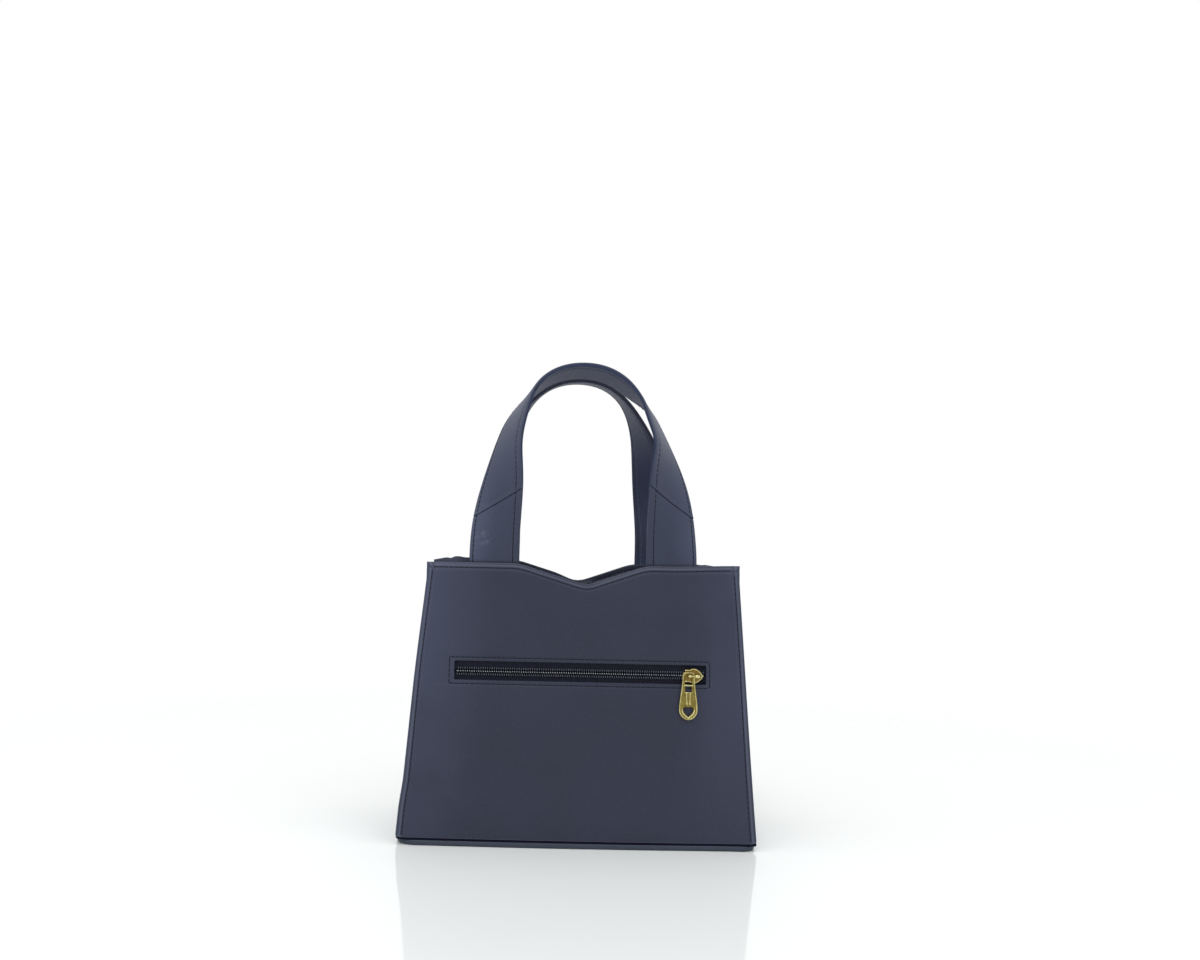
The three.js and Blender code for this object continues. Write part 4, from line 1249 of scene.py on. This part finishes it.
def zip_slider():
    """Slider: a rimmed plate in front, a keeper behind, the web between, and the bridge for the pull."""
    place = zip_place(SLIDER_AT)
    edge, inner = slider_half(0), slider_half(0.9)
    lower_edge = [(x, -y) for x, y in reversed(edge[1:])]
    whole = edge + lower_edge
    rim = lower_edge + edge + inner[::-1] + [(x, -y) for x, y in inner[1:]]
    # the plate under the bridge is in darker brass: patina and painted shade
    plates = (
        ("slider_plate", whole, 0.1, 1.0, 0.3, RECESS_BRASS_PATINA_AND_SHADE),
        ("slider_rim", rim, 0.5, 1.4, 0.3, BRASS),
        ("slider_keeper", whole, -4.3, -3.2, 0.3, BRASS),
        ("slider_web", box_outline(-3, -0.25, 3, 0.25), -3.4, 0.3, 0.05, BRASS),
    )
    parts = []
    for name, outline, low, high, rounding, material in plates:
        parts.append(cut_plate(name, [outline], low, high, rounding, place, material))
    bridge = (  # across, out and the radius there, from tail to nose
        (-3.2, 0.7, 0.6), (-3.2, 2.4, 0.6), (-3.1, 3.2, 0.78), (-2.7, 3.7, 0.9), (-2.0, 3.8, 0.82),
        (-1.2, 3.8, 0.66), (-0.4, 3.9, 0.66), (0.3, 4.1, 0.95), (1.1, 4.25, 1.25), (1.9, 4.2, 1.32),
        (2.6, 3.8, 1.22), (3.1, 3.0, 1.05), (3.3, 2.0, 0.95), (3.3, 0.7, 0.9),
    )
    line = on_zip(place, [(x, 0, out) for x, out, _ in bridge])
    parts.append(swept_bead("slider_bridge", line, [radius for _, _, radius in bridge], BRASS, 16))
    settle(joined("zip_slider_brass", parts), "slider")


def pull_outline(inset):
    """Long drop, narrow at the eye and round at the foot."""
    top, foot = PULL_TOP - inset, PULL_FOOT + inset
    narrow, wide, widest = EYE_HALF - inset, PULL_HALF - inset, -19.6
    right = curve_points(
        ((0, foot), (wide * 0.5, foot), (wide, -22.6 + inset), (wide, widest)),
        ((wide, widest), (wide, -14), (narrow, -7), (narrow, 0)),
        ((narrow, 0), (narrow, top - 0.9), (narrow - 0.8, top - 0.1), (narrow - 1.9, top)),
    )
    return both_sides(right)


def heart_outline():
    """Heart hole near the foot, point down."""
    half, low, high, lobe = HEART_HALF, HEART_LOW, HEART_HIGH, -19.1
    right = curve_points(
        ((0, low), (half * 0.45, low + 1.4), (half, -21.0), (half, lobe)),
        ((half, lobe), (half, high + 0.1), (half * 0.25, high + 0.35), (0, high - 0.6)),
    )
    return both_sides(right)


def zip_pull():
    """Pull: a thin drop with a raised rim, an eye on the bridge, a square slot, a beaded stem and a heart."""
    place = zip_place(SLIDER_AT - 3)
    eye = box_outline(-2.05, -4.9, 2.05, 1.3)
    slot = box_outline(-1.85, -9.3, 1.85, -5.7)
    whole = pull_outline(0)
    field, rim, bar, sill = (
        cut_plate(f"pull_{word}", outlines, low, high, rounding, place, material)
        for word, outlines, low, high, rounding, material in (
            ("field", [whole, eye, slot, heart_outline()], 1.6, 2.35, 0.2, FIELD_BRASS_PATINA_AND_SHADE),
            ("rim", [whole, pull_outline(0.8)], 1.7, 2.65, 0.32, BRASS),
            ("bar", [box_outline(-2.75, -5.75, 2.75, -4.95)], 1.7, 2.6, 0.3, BRASS),
            ("sill", [box_outline(-2.1, -9.75, 2.1, -9.25)], 1.7, 2.55, 0.2, BRASS),
        )
    )
    lip = [  # across, up and the radius there, from the left lobe to under the heart's point
        (-3.6, -18.9, 0.08), (-3.5, -20.2, 0.42), (-2.7, -21.7, 0.6), (-1.4, -23.0, 0.66), (0, -24.0, 0.62),
    ]
    lip += [(-x, y, radius) for x, y, radius in reversed(lip[:-1])]
    lip_line = on_zip(place, [(x, y, 2.35) for x, y, _ in lip])
    lip = swept_bead("pull_heart_lip", lip_line, [radius for _, _, radius in lip], BRASS, 10)
    parts = [field, rim, lip, bar, sill]
    shares = [k / 8 for k in range(9)]
    bead_turns = (-1.5, -1.1, -0.6, 0, 0.6, 1.1, 1.5)
    bead_radii = [0.06, 0.34, 0.58, 0.7, 0.58, 0.34, 0.06]
    for sign in (LEFT, RIGHT):
        ridge = on_zip(place, [(sign * lerp(1.15, 0.8, t), lerp(-9.8, -15.4, t), 2.25) for t in shares])
        parts.append(swept_bead("pull_ridge", ridge, [lerp(0.26, 0.38, t) for t in shares], BRASS, 8))
        bead = on_zip(place, [(sign * 0.85, -15.9 + 0.72 * sin(t), 2.35) for t in bead_turns])
        parts.append(swept_bead("pull_bead", bead, bead_radii, BRASS, 10))
    settle(joined("zip_pull_brass", parts), "pull")


def pocket_pouch():
    """Cloth pouch behind the zip: one strip from the mouth's lower lip round to its upper one."""
    cloth, bend, sewn_flat = 0.3, 3, 12
    front, back = POUCH_FRONT + cloth, POUCH_FRONT + POUCH_DEPTH - cloth
    middle, half_depth = (front + back) / 2, (back - front) / 2
    low, high = ZIP - POUCH_DROP + bend, ZIP + POUCH_RISE - bend
    turns = spread(0, pi, 0.4)[1:-1]
    profile = [(front, up) for up in spread(ZIP - POUCH_MOUTH / 2, low, 6)]
    profile += [(middle - half_depth * cos(t), low - bend * sin(t)) for t in turns]
    profile += [(back, up) for up in spread(low, high, 6)]
    profile += [(middle + half_depth * cos(t), high + bend * sin(t)) for t in turns]
    profile += [(front, up) for up in spread(high, ZIP + POUCH_MOUTH / 2, 6)]
    half = WINDOW_LENGTH / 2 + TAPE_OVERHANG - 0.5

    def layer(inset):
        """The pouch's surface, drawn in by the cloth's thickness or not."""
        grid = []
        for x in spread(-half, half, 4):
            share = lerp(1, 0.3, smooth(abs(x), half - sewn_flat, half)) * (1 - inset / half_depth)
            line = []
            for depth, up in profile:
                inward = 1 if up < low else -1 if up > high else 0
                line.append(wall_point(FRONT, x, middle + (depth - middle) * share, up + inset * inward))
            grid.append(line)
        return grid

    lining_sheet("pocket_pouch_cloth", layer(0), layer(cloth), 0.08)


# The bag
for side in (FRONT, BACK):
    wall_panel(side)
    wall_facing(side)
    wall_lining(side)
for sign in (LEFT, RIGHT):
    gusset(sign)
    gusset_lining(sign)
base_skin()
base_welt()
base_cloth()
for sign in (UPPER, LOWER):
    zip_tape(sign)
    zip_coil(sign)
pocket_pouch()
zip_slider()
zip_pull()
for side in (FRONT, BACK):
    handle(side)
for side in (FRONT, BACK):
    stitching(side)

SOLID_FINISHES = {"stiffener": BOARD, "base_board": BOARD, "snap": NICKEL}
for name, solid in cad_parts.items():
    for word, material in SOLID_FINISHES.items():
        if word in name:
            solid.data.materials.clear()
            solid.data.materials.append(material)

# Table, light and camera
PHOTO_WIDTH, PHOTO_HEIGHT = 1200, 960  # pixels, as are the next three
FOCAL_LENGTH, CENTRE_X, CENTRE_Y = 963, 503.95, 545.51
SENSOR = 36
CAMERA_PLACE, CAMERA_ROLL = Vector((-46.19, -595.23, 173.23)), radians(1.23)
LIT_SPOT = Vector((0, 0, 0.12))
LIGHTS = (  # place in metres, power, size and whether it shows in glossy surfaces
    ("left_light", (-1.3, -0.7, 1.4), 17, 2.2, False),
    ("right_light", (1.3, -0.7, 1.3), 12, 2.0, False),
    ("front_light", (-0.3, -1.3, 1.6), 6.5, 0.5, True),
    ("top_light", (0, -0.3, 1.7), 9, 1.7, False),
    ("back_light", (0.2, 1.8, 1.1), 10, 1.6, False),
)


def table_top():
    """Glossy white table that fades into the white surroundings."""
    mesh = bpy.data.meshes.new("table_top")
    mesh.from_pydata([(-3, -2, 0), (3, -2, 0), (3, 4, 0), (-3, 4, 0)], [], [(0, 1, 2, 3)])
    gloss = Finish("white_table", IOR=1.62)
    marks = gloss.noise(6, 3)
    gloss.feed("Base Color", marks.mix((0.785, 0.81, 0.805), (0.805, 0.83, 0.825)))
    gloss.feed("Roughness", 0.05 + 0.04 * marks)
    away = gloss.distance((0, 0, 0)).step(350, 750)
    shade = Field(gloss.tree, gloss.shader.outputs[0])
    clear = gloss.node("ShaderNodeBsdfTransparent")
    faded = gloss.node("ShaderNodeMixShader", _0=away, _1=shade, _2=clear)
    gloss.tree.links.new(faded.socket, gloss.tree.nodes["Material Output"].inputs[0])
    return add_object("table_top", mesh, gloss.material)


def white_surroundings():
    """White to the camera and in reflections, softer as a light."""
    world = bpy.data.worlds.new("white_studio")
    bpy.context.scene.world = world
    world.use_nodes = True
    tree = world.node_tree
    node = Field(tree).node
    seen = node("ShaderNodeLightPath", "Is Camera Ray")
    mirrored = node("ShaderNodeLightPath", "Is Glossy Ray")
    strength = seen.math("MAXIMUM", mirrored).step(0, 1, 0.52, 1.0)
    shade = tree.nodes["Background"]
    shade.inputs["Color"].default_value = (1, 1, 1, 1)
    tree.links.new(strength.socket, shade.inputs["Strength"])


def soft_light(name, place, power, size, in_gloss):
    """Square lamp turned to the bag."""
    lamp = bpy.data.lights.new(name, "AREA")
    lamp.size, lamp.energy = size, power
    made = link(name, lamp)
    made.visible_glossy = in_gloss
    made.location = place
    made.rotation_euler = (LIT_SPOT - Vector(place)).to_track_quat("-Z", "Y").to_euler()


def photo_camera():
    """Stands where the photograph was taken from: level, square to the front wall, rolled a little."""
    lens = bpy.data.cameras.new("photo_camera")
    lens.sensor_width, lens.lens = SENSOR, FOCAL_LENGTH / PHOTO_WIDTH * SENSOR
    lens.shift_x = (PHOTO_WIDTH / 2 - CENTRE_X) / PHOTO_WIDTH
    lens.shift_y = (CENTRE_Y - PHOTO_HEIGHT / 2) / PHOTO_WIDTH
    lens.clip_start = 0.01
    made = link("photo_camera", lens)
    level = Matrix.Rotation(pi / 2, 4, "X")
    made.matrix_world = Matrix.Translation(CAMERA_PLACE * MM) @ level @ Matrix.Rotation(CAMERA_ROLL, 4, "Z")
    bpy.context.scene.camera = made


table_top()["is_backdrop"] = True
white_surroundings()
for light in LIGHTS:
    soft_light(*light)
photo_camera()
bpy.context.scene.view_settings.view_transform = "Standard"

boxes = {"cad": cad_box, "visual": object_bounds()}
{word: [list(corner) for corner in box] for word, box in boxes.items()}
